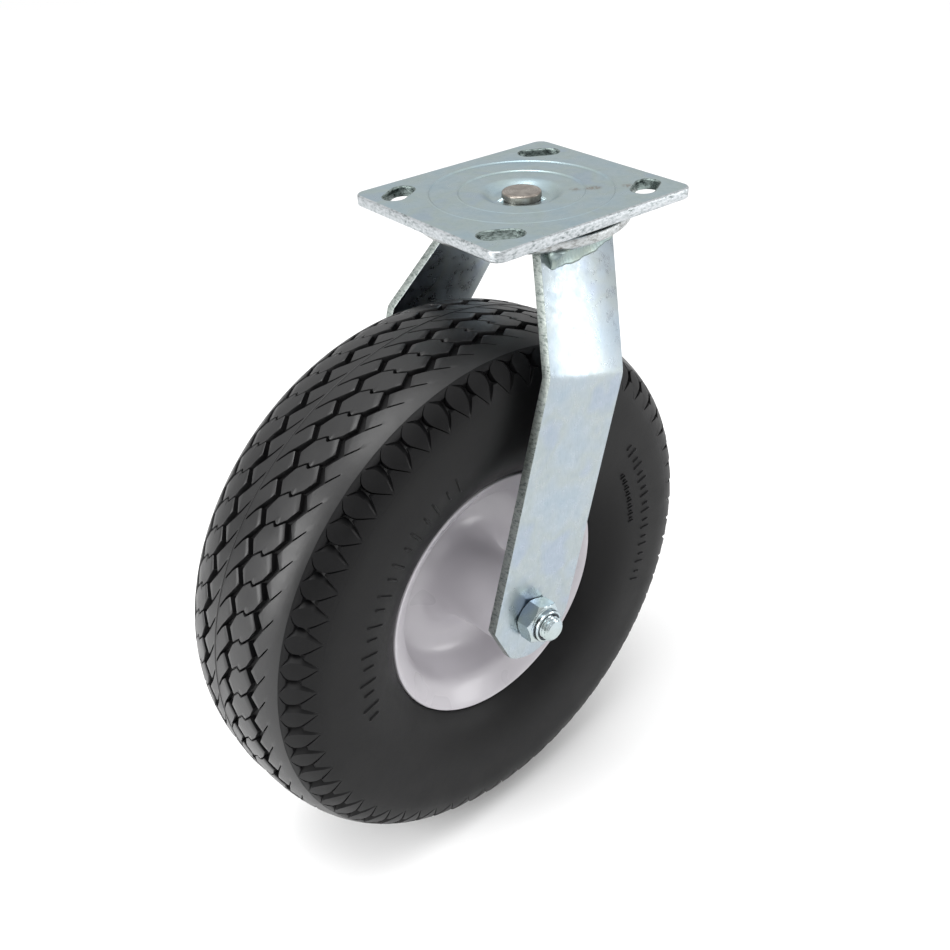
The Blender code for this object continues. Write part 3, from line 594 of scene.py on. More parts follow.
shoulder_low = [(-34.4, -3.0), (-32.4, -2.1), (-30.4, -1.1), (-28.5, -0.1), (-28.1, 0.25),
                (-26.2, 1.7), (-24.4, 3.0), (-22.5, 4.6), (-20.6, 6.2)]
shoulder_high = [(-34.4, -3.0), (-32.4, -2.1), (-30.4, -1.1), (-28.5, -0.1), (-28.2, -0.08),
                 (-27.2, 0.62), (-26.3, 1.25), (-25.3, 1.95), (-24.4, 2.6)]
block_low = [(-17.6, 6.38), (-15.2, 7.36), (-13.5, 8.0), (-12.7, 7.92), (-11.9, 7.42),
             (-10.9, 7.78), (-9.0, 8.62), (-8.2, 8.95), (-6.6, 10.5), (-5.0, 12.1)]
block_high = [(-20.8, 3.3), (-19.3, 4.6), (-17.9, 5.75), (-15.2, 6.92), (-14.0, 7.45),
              (-13.1, 7.38), (-12.3, 6.98), (-10.9, 7.44), (-9.2, 8.18), (-8.2, 8.6)]
middle_low = [(-1.75, 12.35), (-0.6, 12.8), (0.6, 13.42), (2.4, 14.68), (3.85, 15.68),
              (4.15, 15.72)]
middle_high = [(-5.2, 9.0), (-3.2, 10.5), (-1.2, 11.75), (1.0, 13.05), (3.75, 15.1),
               (4.15, 15.72)]
seam_line = [(4.6, 16.2), (4.95, 16.75), (MIDDLE_S, TURN_ANGLE), (5.25, 17.25), (5.6, 17.8)]

# the far side is narrower: arc lengths of the turned half, and where each one is squeezed to
FAR_FROM = [MIDDLE_S, 6.3, 12.0, 15.4, 27.8, 31.0, 38.5, 44.6]
FAR_TO = [MIDDLE_S, 6.3, 10.9, 14.9, 26.4, 29.7, 35.6, SHOULDER_FAR]


def half_turn(line):
    """The same line turned half round about the middle, and squeezed to the far shoulder."""
    line = np.asarray(line, float)[::-1]
    s = np.interp(2 * MIDDLE_S - line[:, 0], FAR_FROM, FAR_TO)
    return np.stack([s, 2 * TURN_ANGLE - line[:, 1]], 1)


EDGE = 0.28                        # mm, width of the worn corner of a block
UNDER = 0.4                        # mm, how far a block runs down into the carcass
MM_PER_DEGREE = 2.35               # round the tread


def tread_row(name, low, high, joined):
    """All the blocks of one row.

    Rows of the patch: u runs from the low cut to the high cut one pitch further on, with an
    extra row close to each cut. Columns are the points of the cuts, with an extra column close
    to each end. The rim of the patch sits EDGE lower, which rounds its corner. A second patch
    GROOVE below closes the block. joined marks columns where neighbouring blocks are one.
    """
    low, high = np.asarray(low, float), np.asarray(high, float) + [0, PITCH_DEG]
    joined = np.asarray(joined, bool)
    ends_open = (not joined[0], not joined[-1])

    def inside(end, following):
        """A point EDGE in from the end of a line, towards its next point."""
        return end + (following - end) * min(EDGE / np.hypot(*(following - end)), 0.4)

    def with_edges(line):
        return np.vstack([line[0], inside(line[0], line[1]), line[1:-1],
                          inside(line[-1], line[-2]), line[-1]])

    low, high = with_edges(low), with_edges(high)
    joined = np.concatenate([joined[:1], joined, joined[-1:]])
    edge_u = EDGE / (PITCH_DEG * MM_PER_DEGREE)
    u = np.array([0, edge_u, 0.25, 0.5, 0.75, 1 - edge_u, 1])[:, None]
    s = low[None, :, 0] * (1 - u) + high[None, :, 0] * u
    degrees = low[None, :, 1] * (1 - u) + high[None, :, 1] * u
    lift = np.zeros_like(s)
    lift[0, ~joined] = lift[-1, ~joined] = -EDGE
    if ends_open[0]:
        lift[:, 0] = -EDGE
    if ends_open[1]:
        lift[:, -1] = -EDGE
    rows, columns = s.shape
    low_lift = np.full_like(s, -GROOVE - UNDER)
    s2, d2, l2 = (np.stack(pair) for pair in ((s, s), (degrees, degrees), (lift, low_lift)))
    k = np.arange(PITCHES)[:, None, None, None]
    points = on_tyre(s2[None] + 0 * k, CUT_START + d2[None] + k * PITCH_DEG, l2[None] + 0 * k)

    top = grid_faces(rows, columns)
    under = top[:, ::-1] + rows * columns
    index = np.arange(rows * columns).reshape(rows, columns)
    walls = []

    def wall(path, keep):
        a, b = path[:-1][keep], path[1:][keep]
        walls.append(np.stack([a, b, b + rows * columns, a + rows * columns], 1))

    cut = ~(joined[:-1] & joined[1:])
    wall(index[0], cut)
    wall(index[-1][::-1], cut[::-1])
    if ends_open[1]:
        wall(index[:, -1], np.ones(rows - 1, bool))
    if ends_open[0]:
        wall(index[::-1, 0], np.ones(rows - 1, bool))
    one = np.vstack([top, under] + walls)
    faces = (one[None] + (np.arange(PITCHES) * 2 * rows * columns)[:, None, None]).reshape(-1, 4)
    return piece(name, points, faces, "wheel", tread_rubber, "rubber", sharp=50,
                 merge=0.01 * MM, outward=True)


join_shoulder = [True] * 4 + [False] * 5
tread_row("shoulder_near", shoulder_low, shoulder_high, join_shoulder)
tread_row("shoulder_far", half_turn(shoulder_high), half_turn(shoulder_low),
          join_shoulder[::-1])
tread_row("blocks_near", block_low, block_high, [False] * 10)
tread_row("blocks_far", half_turn(block_high), half_turn(block_low), [False] * 10)
join_middle = [False] * 5 + [True] * 7 + [False] * 5
tread_row("blocks_middle", np.vstack([middle_low, seam_line, half_turn(middle_high)]),
          np.vstack([middle_high, seam_line, half_turn(middle_low)]), join_middle)

# %% Parting line
def parting_line():
    """The flash left where the mould's halves met: a low ridge once round the tyre."""
    s = MIDDLE_S + np.array([-0.42, -0.2, 0.0, 0.2, 0.42])
    lift = np.array([-0.35, 0.14, 0.26, 0.14, -0.35])
    degrees = np.linspace(0, 360, TURNS, endpoint=False)[:, None]
    points = on_tyre(s[None] + 0 * degrees, degrees + 0 * s[None], lift[None] + 0 * degrees)
    piece("parting_line", points, grid_faces(TURNS, 5, True, True), "wheel", tread_rubber,
          "rubber", sharp=60, outward=True)


parting_line()

# %% [markdown]
# ## Side lugs
# Below each shoulder is a ring of leaf-shaped lugs with a moat round each one. Eight lines run
# along a leaf: its foot, the ridge, a line past the ridge, the far edge, the moat's floor, the
# two sides of the tongue of sidewall between two leaves, and the next leaf's foot. The grid's
# rows follow those lines, so each facet is crisp.

# %% Lugs
LEAF = np.array([
    # s,    foot,  ridge, edge,  depth, tongue
    [-53.0, 2.55, 2.75, 2.95, 0.00, 0.0],
    [-51.4, 2.55, 2.75, 2.95, 0.00, 0.0],
    [-50.6, 2.45, 2.75, 3.05, 0.35, 0.0],
    [-49.0, 1.95, 2.50, 3.50, 1.10, 0.0],
    [-47.5, 1.45, 2.20, 3.95, 1.80, 0.0],
    [-46.0, 1.00, 1.90, 4.40, 2.40, 0.0],
    [-44.5, 0.60, 1.60, 4.80, 2.90, 0.0],
    [-43.2, 0.30, 1.40, 5.10, 3.20, 2.2],
    [-41.5, 0.10, 1.30, 5.25, 3.40, 3.2],
    [-40.0, 0.05, 1.30, 5.25, 3.40, 3.2],
    [-38.8, 0.20, 1.40, 5.20, 3.20, 2.6],
    [-37.6, 0.85, 1.70, 4.95, 2.60, 0.3],
    [-36.6, 1.55, 2.10, 4.50, 1.80, 0.0],
    [-35.6, 2.30, 2.60, 3.80, 0.80, 0.0],
    [-35.0, 2.60, 2.80, 3.25, 0.00, 0.0],
    [-34.4, 2.60, 2.80, 3.25, 0.00, 0.0]])


def lug_ring(name, s, half_turned):
    """All the lugs of one shoulder, closed round the wheel, with their back hidden below."""
    _, foot, ridge, edge, depth, tongue = LEAF.T
    low_side = np.maximum(0.45 * depth, tongue)
    rows = [(foot, -low_side), (ridge, 0 * depth), (0.5 * (ridge + edge), -0.04 * depth),
            (edge, -0.12 * depth), (edge + 0.10 + 0.02 * depth, -0.96 * depth),
            (edge + 0.22 + 0.03 * depth, -tongue),
            (foot + PITCH_DEG - 0.18, -tongue), (foot + PITCH_DEG - 0.09, -low_side)]
    degrees = np.array([row[0] for row in rows])
    lift = np.array([row[1] for row in rows])
    crossed = degrees[5] > degrees[6]
    middle = 0.5 * (degrees[5] + degrees[6])
    degrees[5] = np.where(crossed, middle, degrees[5])
    degrees[6] = np.where(crossed, middle, degrees[6])
    degrees[4] = np.minimum(degrees[4], degrees[5])
    degrees[7] = np.maximum(degrees[7], degrees[6])
    if half_turned:
        degrees = -degrees
    k = np.arange(PITCHES)[:, None, None]
    degrees = CUT_START + degrees[None] + k * PITCH_DEG * (-1 if half_turned else 1)
    shape = degrees.shape
    points = on_tyre(s[None, None, :] + 0 * degrees, degrees, lift[None] + 0 * degrees)
    around = shape[0] * shape[1]
    return piece(name, points, grid_faces(around, len(s), True), "wheel", shaded_side_rubber, "rubber",
                 sharp=22, merge=0.002 * MM, outward=True)


lug_ring("lugs_near", LEAF[:, 0], False)
far_s = np.interp(-LEAF[:, 0], [-SHOULDER_NEAR, -LUG_END_NEAR], [SHOULDER_FAR, LUG_END_FAR])
lug_ring("lugs_far", far_s, True)

# %% [markdown]
# ## Rim
# Each rim half is pressed from sheet: a lip, a sloping seat, a deep wall, a web near the
# middle and a long neck for the bearing. One profile is turned round the axle, with its
# corners eased into small curves, and the same profile is mirrored for the other half.

# %% Rim halves
def turned_wheel(name, profile, body, finish, slot, turns=192, sharp=30, **more):
    """A closed profile of (r, y) rows turned once round the axle."""
    profile = np.asarray(profile, float)
    around = np.linspace(0, 2 * pi, turns, endpoint=False)
    spun = from_fork(from_wheel(profile[None, :, 0], profile[None, :, 1], around[:, None]))
    return piece(name, spun, grid_faces(turns, len(profile), True, True), body, finish, slot,
                 sharp=sharp, outward=True, **more)


NECK_R, NECK_END_Y, WEB_Y = 19.3, 46.8, 3.0
NECK_BORE_R, BEARING_IN_Y, NECK_STEP_R = 17.6, 35.2, 16.1
rim_front = rounded([(65.2, 31.4), (64.9, 32.35), (64.0, 32.4), (61.7, 31.2), (54.4, 26.2),
                     (51.9, 22.8), (49.6, 14.0), (46.8, 7.2), (42.0, 4.3), (34.0, WEB_Y),
                     (27.5, 4.3), (22.9, 9.0), (20.4, 16.0), (NECK_R, 30.0),
                     (NECK_R, NECK_END_Y - 0.3), (NECK_R - 0.4, NECK_END_Y)], 3.0, 5)
rim_rear = [(NECK_BORE_R, NECK_END_Y), (NECK_BORE_R, BEARING_IN_Y),
            (NECK_STEP_R, BEARING_IN_Y), (NECK_STEP_R, 12.0), (26.0, 0.15), (51.9, 0.15),
            (52.2, 13.0), (54.1, 22.2), (56.4, 24.8),
            (63.1, 29.5), (65.2, 30.0)]
for end, side in (("near", -1), ("far", 1)):
    profile = np.vstack([rim_front, rim_rear]) * [1, side]
    turned_wheel(f"rim_{end}", profile, "wheel", enamel, "rim", replaces=[f"rim_half_{end}"])

# %% [markdown]
# ## Sidewall marks
# The mould leaves raised marks on the sidewall. Plain bars stand for them here, in three groups
# on each side. A bar is a small pillow: a grid whose height is a rounded box, sunk at its rim.

# %% Raised bars
BAR_GROUPS = [
    # start and step in degrees, count, then radius, height and stroke in mm
    (112, 9.4, 9, 88.0, 11.0, 1.6),
    (-20, 6.4, 9, 97.0, 7.0, 1.2),
    (4, 3.0, 8, 86.5, 3.6, 0.8)]
BAR_ROWS, BAR_COLUMNS = 9, 5
BAR_SUNK, BAR_RISE = -0.25, 0.85   # mm, where a bar's rim lies and how far its top rises


def bar_group(start, step, count, radius, tall, stroke):
    """A row of plain upright bars, a long one and then a shorter one."""
    rows = []
    for k in range(count):
        middle = start + k * step
        rows.append((radius, middle - step * 0.22, tall, stroke))
        rows.append((radius, middle + step * 0.22, tall * 0.62, stroke))
    return rows


def raised_bars(name, side):
    """All the bars of one sidewall: grid rows run out along the radius, columns run round."""
    bars = np.array([bar for group in BAR_GROUPS for bar in bar_group(*group)])
    middle_r, middle, tall, stroke = bars.T[:, :, None, None]
    a, b = np.meshgrid(np.linspace(-1, 1, BAR_ROWS), np.linspace(-1, 1, BAR_COLUMNS),
                       indexing="ij")
    edge = np.clip(np.minimum((1 - np.abs(a)) * 6, (1 - np.abs(b)) * 2.2), 0, 1)
    lift = BAR_SUNK + BAR_RISE * np.sin(edge * pi / 2)
    radius = middle_r + tall / 2 * a
    degrees = middle + np.degrees(stroke / 2 * b / radius)
    s = np.interp(-radius, -section_line[WIDEST:, 0], arc[WIDEST:]) * side
    points = on_tyre(s, degrees, lift[None] + 0 * s)
    first_points = np.arange(len(bars)) * BAR_ROWS * BAR_COLUMNS
    faces = (grid_faces(BAR_ROWS, BAR_COLUMNS)[None] + first_points[:, None, None]).reshape(-1, 4)
    if side > 0:
        faces = faces[:, ::-1]
    return piece(name, points, faces, "wheel", shaded_side_rubber, "rubber", sharp=60)


raised_bars("sidewall_marks_near", -1)
raised_bars("sidewall_marks_far", 1)

# %% [markdown]
# ## Plate and legs
# These are flat stock, cut and bent, and the CAD solids already have their true outlines. A
# copy is merged into one skin, its flat faces are joined again, and every hard edge is rolled
# over by a small bevel, as tumbling and plating leave it. Cut faces get the torn finish, in a
# darker copy that paints shade on the legs' edges.

# %% Rolled copies
ROLL_LEG = 0.8 * MM


def rolled_copy(name, node, body, finish, roll, cut_test):
    """A merged copy of a CAD node with rolled edges; cut_test says which faces were sheared."""
    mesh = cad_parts[node].data.copy()
    mesh.name = name
    mesh.materials.clear()
    mesh.materials.append(finish)
    mesh.materials.append(leg_sheared_shaded)
    bm = bmesh.new()
    bm.from_mesh(mesh)
    bmesh.ops.remove_doubles(bm, verts=bm.verts, dist=0.002 * MM)
    bmesh.ops.dissolve_limit(bm, angle_limit=radians(1.0), verts=bm.verts, edges=bm.edges)
    bm.normal_update()
    for face in bm.faces:
        face.material_index = 1 if cut_test(face) else 0
    hard = [e for e in bm.edges if len(e.link_faces) == 2 and e.calc_face_angle(0) > radians(50)]
    bmesh.ops.bevel(bm, geom=hard, offset=roll, segments=3, profile=0.5, affect="EDGES",
                    clamp_overlap=True, material=-1)
    bmesh.ops.triangulate(bm, faces=[f for f in bm.faces if len(f.verts) > 4])
    bm.to_mesh(mesh)
    bm.free()
    mesh.shade_smooth()
    mesh.set_sharp_from_angle(angle=radians(38))
    return put_on_body(name, mesh, body, [node])


to_fork = Matrix(turn.T.tolist())


def sheared(face):
    """True on the bar's narrow cut faces, whose normals have little of the fork's Y."""
    return abs((to_fork @ face.normal).y) < 0.5


for end in ("near", "far"):
    rolled_copy(f"leg_{end}", f"fork_leg_{end}", "fork", zinc_leg, ROLL_LEG, sheared)

# %% [markdown]
# ## Mounting plate
# The plate is 5 mm stock, punched out with its four slots, with two circles and a dished seat
# pressed into it. Its walls are one rolled profile swept round each outline. The middle is
# turned from one profile, where each pressed circle is a step with a small raised bead.

# %% Plate outlines
PLATE_THICK, ROLL, CORNER_R = 5.0, 0.8, 5.5
SLOT_OUTER, SLOT_INNER, SLOT_R = np.array([46.05, 33.35]), np.array([38.1, 38.1]), 5.15
half_x, half_y = (float(v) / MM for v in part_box("top_plate")[1][:2])


def arc_line(centre, radius, start, end, steps=20):
    """Points of an arc, from start to end in degrees."""
    a = np.radians(np.linspace(start, end, steps + 1))
    return np.array(centre) + radius * np.stack([np.cos(a), np.sin(a)], 1)


def slot_loop(sx, sy):
    """A slot's outline, run clockwise: two half circles between the inner and outer bolt."""
    outer, inner = SLOT_OUTER * (sx, sy), SLOT_INNER * (sx, sy)
    heading = np.degrees(np.arctan2(*(inner - outer)[::-1]))
    return np.vstack([arc_line(inner, SLOT_R, heading + 90, heading - 90),
                      arc_line(outer, SLOT_R, heading - 90, heading - 270)])


outline = np.vstack([arc_line((sx * (half_x - CORNER_R), sy * (half_y - CORNER_R)), CORNER_R,
                              start, start + 90)
                     for sx, sy, start in ((1, 1, 0), (-1, 1, 90), (-1, -1, 180), (1, -1, 270))])
slots = [slot_loop(sx, sy) for sx in (-1, 1) for sy in (-1, 1)]
print("plate outline:", len(outline), "points,", len(slots), "slots")

# %% Plate
JOIN_R, PIN_HOLE_R = 43.6, 9.4                 # where the turned middle starts and ends
BALL_RING_R, BALL_GROOVE_R, BALL_Z = 35.5, 3.15, -5.65
PRESS_OUTER_R, PRESS_INNER_R, PRESS_STEP = 42.1, 29.0, 0.45
DISH_R, DISH_SLOPE, DISH_DEPTH = 19.4, 6.4, 2.9
BEAD_RISE, BEAD_WIDE = 0.16, 0.32
BOSS_R, BOSS_EDGE_R, BOSS_Z = 12.5, 15.0, -7.4  # the dished metal that hangs below
AROUND = 160                                   # steps round the turned middle


def pressed_profile():
    """Turned middle, (r, z) rows: top face in to the pin's hole, then the underside out.

    Each pressed circle is a smooth step down plus a bell-shaped bead.
    """
    r = np.concatenate([np.linspace(JOIN_R, 40.2, 28), np.linspace(39, 30, 5),
                        np.linspace(29.9, 27.0, 26), np.linspace(26, 20.5, 5),
                        np.linspace(20, 12.2, 24), np.linspace(11.4, PIN_HOLE_R, 3)])

    def smooth(t):
        t = np.clip(t, 0, 1)
        return t * t * (3 - 2 * t)

    z = -DISH_DEPTH * smooth((DISH_R - r) / DISH_SLOPE)
    for press_r in (PRESS_OUTER_R, PRESS_INNER_R):
        z -= PRESS_STEP * smooth(press_r - r)
        z += BEAD_RISE * np.exp(-((r - press_r - 0.1) / BEAD_WIDE) ** 2)
    z[0] = 0
    half = np.arccos((-PLATE_THICK - BALL_Z) / BALL_GROOVE_R)
    a = pi / 2 + half * np.linspace(1, -1, 9)
    groove = np.stack([BALL_RING_R + BALL_GROOVE_R * np.cos(a),
                       BALL_Z + BALL_GROOVE_R * np.sin(a)], 1)
    under = np.array([(PIN_HOLE_R, BOSS_Z), (BOSS_R, BOSS_Z), (BOSS_EDGE_R, -PLATE_THICK)])
    return np.vstack([np.stack([r, z], 1), under, groove, [(JOIN_R, -PLATE_THICK)]])


def swept_wall(loop):
    """Rows of points round an outline: a quarter roll, the flat wall and a quarter roll.

    The outline moves in by the roll's cosine while the height moves by its sine.
    """
    step = np.roll(loop, -1, 0) - np.roll(loop, 1, 0)
    out = np.stack([step[:, 1], -step[:, 0]], 1) / np.linalg.norm(step, axis=1)[:, None]
    t = np.linspace(0, pi / 2, 5)
    inward = np.concatenate([ROLL * (1 - np.sin(t)), ROLL * (1 - np.sin(t))[::-1]])
    z = np.concatenate([-ROLL * (1 - np.cos(t)), -PLATE_THICK + ROLL * (1 - np.cos(t))[::-1]])
    xy = loop[None] - inward[:, None, None] * out[None]
    return np.concatenate([xy, np.broadcast_to(z[:, None, None], xy.shape[:2] + (1,))], -1)


def pressed_plate():
    """The whole plate: walls, turned middle, and flat faces filled between their loops."""
    points, faces, finishes = [], [], []
    FLAT, CUT, SLOT_SHADE = 0, 1, 2

    def put(block, block_faces, finish):
        start = sum(len(p) for p in points)
        points.append(block)
        faces.extend((np.asarray(block_faces) + start).tolist())
        finishes.extend([finish] * len(block_faces))

    walls = [swept_wall(loop) for loop in [outline] + slots]
    for number, wall in enumerate(walls):
        rows, columns = wall.shape[:2]
        # the slots' walls get the darkened torn finish, which paints the shade inside them
        put(wall.reshape(-1, 3), grid_faces(rows, columns, False, True), SLOT_SHADE if number else CUT)
    profile = pressed_profile()
    around = np.linspace(0, 2 * pi, AROUND, endpoint=False)[:, None]
    centre = np.stack([profile[:, 0] * np.cos(around), profile[:, 0] * np.sin(around),
                       profile[:, 1] + 0 * around], -1)
    put(centre.reshape(-1, 3), grid_faces(AROUND, len(profile), True), FLAT)
    for row, column in ((0, 0), (-1, -1)):
        loops = [wall[row] for wall in walls] + [centre[:, column]]
        flat = tessellate_polygon([[Vector(p) for p in loop] for loop in loops])
        put(np.vstack(loops), flat, FLAT)

    mesh = bpy.data.meshes.new("mounting_plate")
    mesh.from_pydata(np.vstack(points) * MM, [], faces)
    for finish in (zinc_plate, zinc_sheared, slot_wall_painted_shade):
        mesh.materials.append(finish)
    mesh.polygons.foreach_set("material_index", np.array(finishes, int))
    bm = bmesh.new()
    bm.from_mesh(mesh)
    bmesh.ops.remove_doubles(bm, verts=bm.verts, dist=0.002 * MM)
    bmesh.ops.recalc_face_normals(bm, faces=bm.faces)
    open_edges = sum(1 for e in bm.edges if len(e.link_faces) != 2)
    bm.to_mesh(mesh)
    bm.free()
    mesh.shade_smooth()
    mesh.set_sharp_from_angle(angle=radians(28))
    for polygon in mesh.polygons:
        if polygon.normal.z ** 2 > 0.99999 and polygon.area > 1e-6:
            polygon.use_smooth = False
    put_on_body("mounting_plate", mesh, "root", ["top_plate"])
    print("open edges in the plate:", open_edges)


pressed_plate()

# %% [markdown]
# ## Crown, kingpin and welds
# The crown is a pressed disc, so it is turned about the swivel axis. The kingpin's head was
# staked: two chisel marks raise small lips of plate against it. The fillet welds are a hollow
# curve swept along the joint, with a ripple every 2.4 mm where the arc paused.

# %% Turned about the swivel axis
POLE_R = 0.01                      # mm, a turned piece that meets its axis stops here


def turned_z(name, profile, body, finish, slot, turns=128, sharp=30, **more):
    """A closed profile of (r, z) rows turned once round the swivel axis."""
    profile = np.asarray(profile, float)
    around = np.linspace(0, 2 * pi, turns, endpoint=False)[:, None]
    spun = np.stack([profile[None, :, 0] * np.cos(around), profile[None, :, 0] * np.sin(around),
                     profile[None, :, 1] + 0 * around], -1)
    return piece(name, from_fork(spun), grid_faces(turns, len(profile), True, True), body,
                 finish, slot, sharp=sharp, outward=True, **more)


crown = rounded([(14.2, -6.3), (49.3, -6.3), (49.9, -6.9), (50.0, -8.9), (49.4, -10.6),
                 (47.9, -11.8), (45.5, -12.3), (23.4, -12.3), (23.4, -10.1), (14.2, -10.1)],
                0.8, 3)
turned_z("crown_disc", crown, "fork", crown_zinc, "zinc", replaces=["fork_crown"])

PIN_R = 9.1
pin_head = rounded([(POLE_R, -0.15), (8.4, -0.2), (9.05, -0.8), (PIN_R, -6.0), (8.0, -7.4),
                    (8.0, -24.3), (7.2, -25.0), (POLE_R, -25.0)], 0.5, 3)
turned_z("kingpin_body", pin_head, "root", pin_steel, "pin", turns=96, merge=0.02 * MM,
         replaces=["kingpin"])

# %% Stake marks
def stake_mark(name, direction):
    """A lip of plate pushed up against the pin: a wedge whose height falls away outwards."""
    a, b = np.meshgrid(np.linspace(-1, 1, 13), np.linspace(0, 1, 9), indexing="ij")
    radius = PIN_R + 0.05 + 3.4 * b
    around = direction + a * 0.17 * (1 - 0.35 * b)
    ridge = (1 - np.abs(a) ** 3) * (1 - b) ** 1.4
    notch = np.exp(-(a / 0.16) ** 2) * (1 - b)
    height = -4.0 + 1.5 * ridge - 0.8 * notch
    top = np.stack([radius * np.cos(around), radius * np.sin(around), height], -1)
    under = top * [1, 1, 0] + [0, 0, -4.6]
    n = a.size
    loop = np.concatenate([np.arange(9), np.arange(17, n, 9), np.arange(n - 2, n - 10, -1),
                           np.arange(n - 18, 0, -9)])
    following = np.roll(loop, -1)
    sides = np.stack([loop, loop + n, following + n, following], 1)
    faces = np.vstack([grid_faces(13, 9), grid_faces(13, 9)[:, ::-1] + n, sides])
    points = np.concatenate([top.reshape(-1, 3), under.reshape(-1, 3)]) * MM
    return piece(name, points, faces, "root", zinc_plate, "zinc", sharp=50, outward=True)


stake_mark("stake_mark_left", radians(158))
stake_mark("stake_mark_right", radians(-52))

# %% Welds
LEAN, BEND = radians(17.2), radians(22.3)
LEG_FACE_Y = 55.3                  # mm, outside of the straight bar from the fork's middle
BEND_ALONG = 120.5                 # mm, axle to bend, along the bar
CROWN_SIDE_R = 48.4
WELD_TOP_Z, WELD_STEPS, WELD_ROWS = -11.6, 140, 22


def leg_face(x, z):
    """How far out the leg's sloping face is, at a place seen from the side."""
    along = (x - AXLE[0]) * sin(LEAN) + (z - AXLE[2]) * cos(LEAN)
    return LEG_FACE_Y - tan(BEND) * (along - BEND_ALONG)


def weld_bead(name, side, x_rear, x_front, node):
    """A hollow fillet swept along x: a curve from the crown's lip down to the leg's face.

    The toe's height and the curve's depth vary along the bead, and a ripple leans back.
    """
    u, v = np.meshgrid(np.linspace(0, 1, WELD_STEPS), np.linspace(0, 1, WELD_ROWS), indexing="ij")
    x = x_rear + (x_front - x_rear) * u
    top_z = WELD_TOP_Z + 0 * u
    toe_z = -19.8 - 2.0 * np.sin(pi * u) ** 0.8
    toe_z -= 0.3 * np.sin(19 * u + 1) + 0.1 * np.sin(47 * u)
    crown_y = np.sqrt(CROWN_SIDE_R ** 2 - x ** 2) + AXLE[1] * side
    top_y = np.minimum(leg_face(x, top_z) + 9.6, crown_y)
    toe_y = leg_face(x, toe_z)
    knee_y, knee_z = leg_face(x, -13.6 + 0 * u) + 1.6, -13.4 + 0 * u
    y = (1 - v) ** 2 * top_y + 2 * v * (1 - v) * knee_y + v ** 2 * toe_y
    z = (1 - v) ** 2 * top_z + 2 * v * (1 - v) * knee_z + v ** 2 * toe_z
    ripple = 0.17 * np.sin(2 * pi * (x + 2.2 * np.sin(pi * v)) / 2.4) * np.sin(pi * v) ** 0.7
    lump = 0.9 * np.exp(-((u - 0.07) / 0.06) ** 2) * np.sin(pi * v) ** 0.5
    blob = 0.45 * np.sin(13.76 * u + 1.1) * np.sin(pi * v)
    y, z = y + 0.8 * (ripple + lump + blob), z - 0.6 * (ripple + lump + blob)
    back = np.stack([leg_face(x[:, :1], -14.0) - 2.2 + 0 * x[:, :1], -11.9 + 0 * x[:, :1]], -1)
    inner = np.stack([leg_face(x[:, :1], toe_z[:, :1] + 0.3) - 2.0, toe_z[:, :1] + 0.8], -1)
    yz = np.concatenate([np.stack([y, z], -1), inner, back], 1)
    columns = yz.shape[1]
    xs = np.repeat(x[:, :1], columns, 1)
    points = np.stack([xs, side * yz[..., 0] + AXLE[1], yz[..., 1]], -1)
    # the two ends close on a point a little way out, which rounds them
    caps = points[[0, -1]].mean(1) + [[-0.9, 0, 0], [0.9, 0, 0]]
    n = points[..., 0].size
    j = np.arange(columns)
    following = (j + 1) % columns
    faces = grid_faces(WELD_STEPS, columns, False, True).tolist()
    faces += np.stack([following, j, n + 0 * j], 1).tolist()
    faces += np.stack([n - columns + j, n - columns + following, n + 1 + 0 * j], 1).tolist()
    piece(name, from_fork(np.concatenate([points.reshape(-1, 3), caps])), faces, "fork",
          weld_zinc, "zinc", sharp=180, outward=True, replaces=[node])


weld_zinc = zinc_finish("zinc_weld", "#93A09C", 0.34, stained=0.5)
weld_bead("weld_near", -1, -22.6, 21.8, "leg_weld_near")
weld_bead("weld_far", 1, -9.5, 21.8, "leg_weld_far")

# %% [markdown]
# ## Axle bolt and nut
# A hexagon's flats meet a chamfer cone, so the radius at each angle is the smaller of the two;
# that alone draws the curved edge of each flat. The thread is a helix: the radius falls and
# rises with the distance along the axle plus the share of a turn.

# %% Hexagons and threads
FLATS, CORNER = 19.0, 19.0 / 2 / cos(pi / 6)   # mm, across the flats, and middle to corner
CHAMFER = 1.55                     # mm, how far the chamfer cuts in at a corner
THREAD_R, THREAD_PITCH, THREAD_DEPTH = 6.0, 1.75, 0.95


def hex_radius(angle):
    """Distance from the middle to the hexagon: half the flats over the cosine to a flat."""
    sixth = (angle + pi / 6) % (pi / 3) - pi / 6
    return FLATS / 2 / np.cos(sixth)


def screw_piece(name, rows, finish, slot, turns=144, sharp=28, **more):
    """Rows of (kind, r, y): round rows have radius r; hex rows are the hexagon capped at r.

    thread rows carry a helix cut into the thread's outside radius, capped at r.
    """
    angle = np.linspace(0, 2 * pi, turns, endpoint=False)
    radii, heights = [], []
    for kind, r, y in rows:
        if kind == "hex":
            radius = np.minimum(hex_radius(angle), r)
        elif kind == "thread":
            phase = (y / THREAD_PITCH + angle / (2 * pi)) % 1
            radius = np.minimum(r, THREAD_R - THREAD_DEPTH * np.abs(2 * phase - 1) ** 1.2)
        else:
            radius = r + 0 * angle
        radii.append(radius)
        heights.append(y + 0 * angle)
    radii, heights = np.array(radii).T, np.array(heights).T
    points = from_fork(from_wheel(radii, heights, angle[:, None] + radians(12)))
    return piece(name, points, grid_faces(turns, len(rows), True, True), "fork", finish, slot,
                 sharp=sharp, merge=0.005 * MM, outward=True, **more)


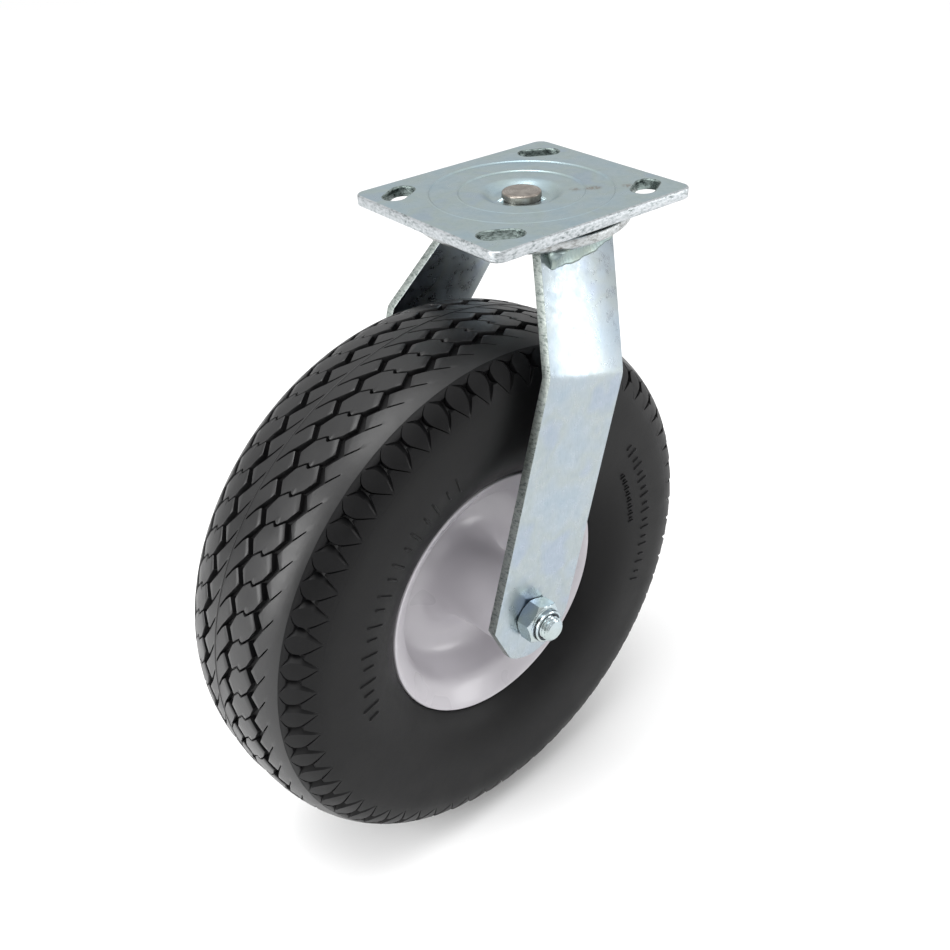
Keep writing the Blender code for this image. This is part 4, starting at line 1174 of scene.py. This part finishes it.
def hex_end(y, step):
    """Hexagon rows that run into a chamfer: the cap falls from the corner as y moves by step."""
    t = np.linspace(0, 1, 8)
    return [("hex", CORNER - CHAMFER * k, y + step * k) for k in t]


NUT_Y, HEX_H, COLLAR_H, HEAD_H, THREAD_OUT = 55.6, 8.4, 3.2, 7.5, 4.0
hex_out = -(NUT_Y + HEX_H)
collar_out = hex_out - COLLAR_H
bolt_out = collar_out - THREAD_OUT
head_y = NUT_Y + HEAD_H

collar = [("round", r, y) for r, y in (
    (8.5, hex_out - 0.15), (8.3, hex_out - 0.5), (8.3, collar_out + 1.0),
    (8.1, collar_out + 0.4), (7.6, collar_out), (7.15, collar_out + 0.1),
    (7.0, collar_out + 0.5), (6.3, collar_out + 0.6))]
nut_rows = [("round", 6.3, -NUT_Y), ("hex", FLATS / 2, -NUT_Y)]
nut_rows += hex_end(-NUT_Y - 0.9, 0.9)[::-1][1:] + hex_end(hex_out + 1.1, -1.0) + collar
screw_piece("lock_nut", nut_rows, zinc_part, "zinc", replaces=["axle_nut"])

thread = [("thread", 4.8 + 1.3 * (y - bolt_out - 0.15), y)
          for y in np.arange(bolt_out + 0.2, collar_out + 2.2, 0.11)]
bolt_rows = [("round", POLE_R, bolt_out), ("round", 4.3, bolt_out), ("round", 4.8, bolt_out + 0.1)]
bolt_rows += thread + [("round", 5.9, collar_out + 2.6), ("round", 5.9, NUT_Y),
                       ("hex", 9.3, NUT_Y), ("hex", CORNER, NUT_Y + 0.6)]
bolt_rows += hex_end(head_y - 1.2, 1.2) + [("round", POLE_R, head_y)]
screw_piece("axle_bolt_body", bolt_rows, zinc_part, "zinc", replaces=["axle_bolt"])

# %% [markdown]
# ## What is left
# The bearings, washers, hidden nut and caps keep their CAD meshes and take a finish.

# %% Finish
for name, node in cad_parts.items():
    if node.hide_render:
        continue
    finish = nylon if name == "nut_nylon_insert" else zinc_part
    if "ball" in name or "bearing" in name:
        finish = ball_steel
    node.data.materials.clear()
    node.data.materials.append(finish)
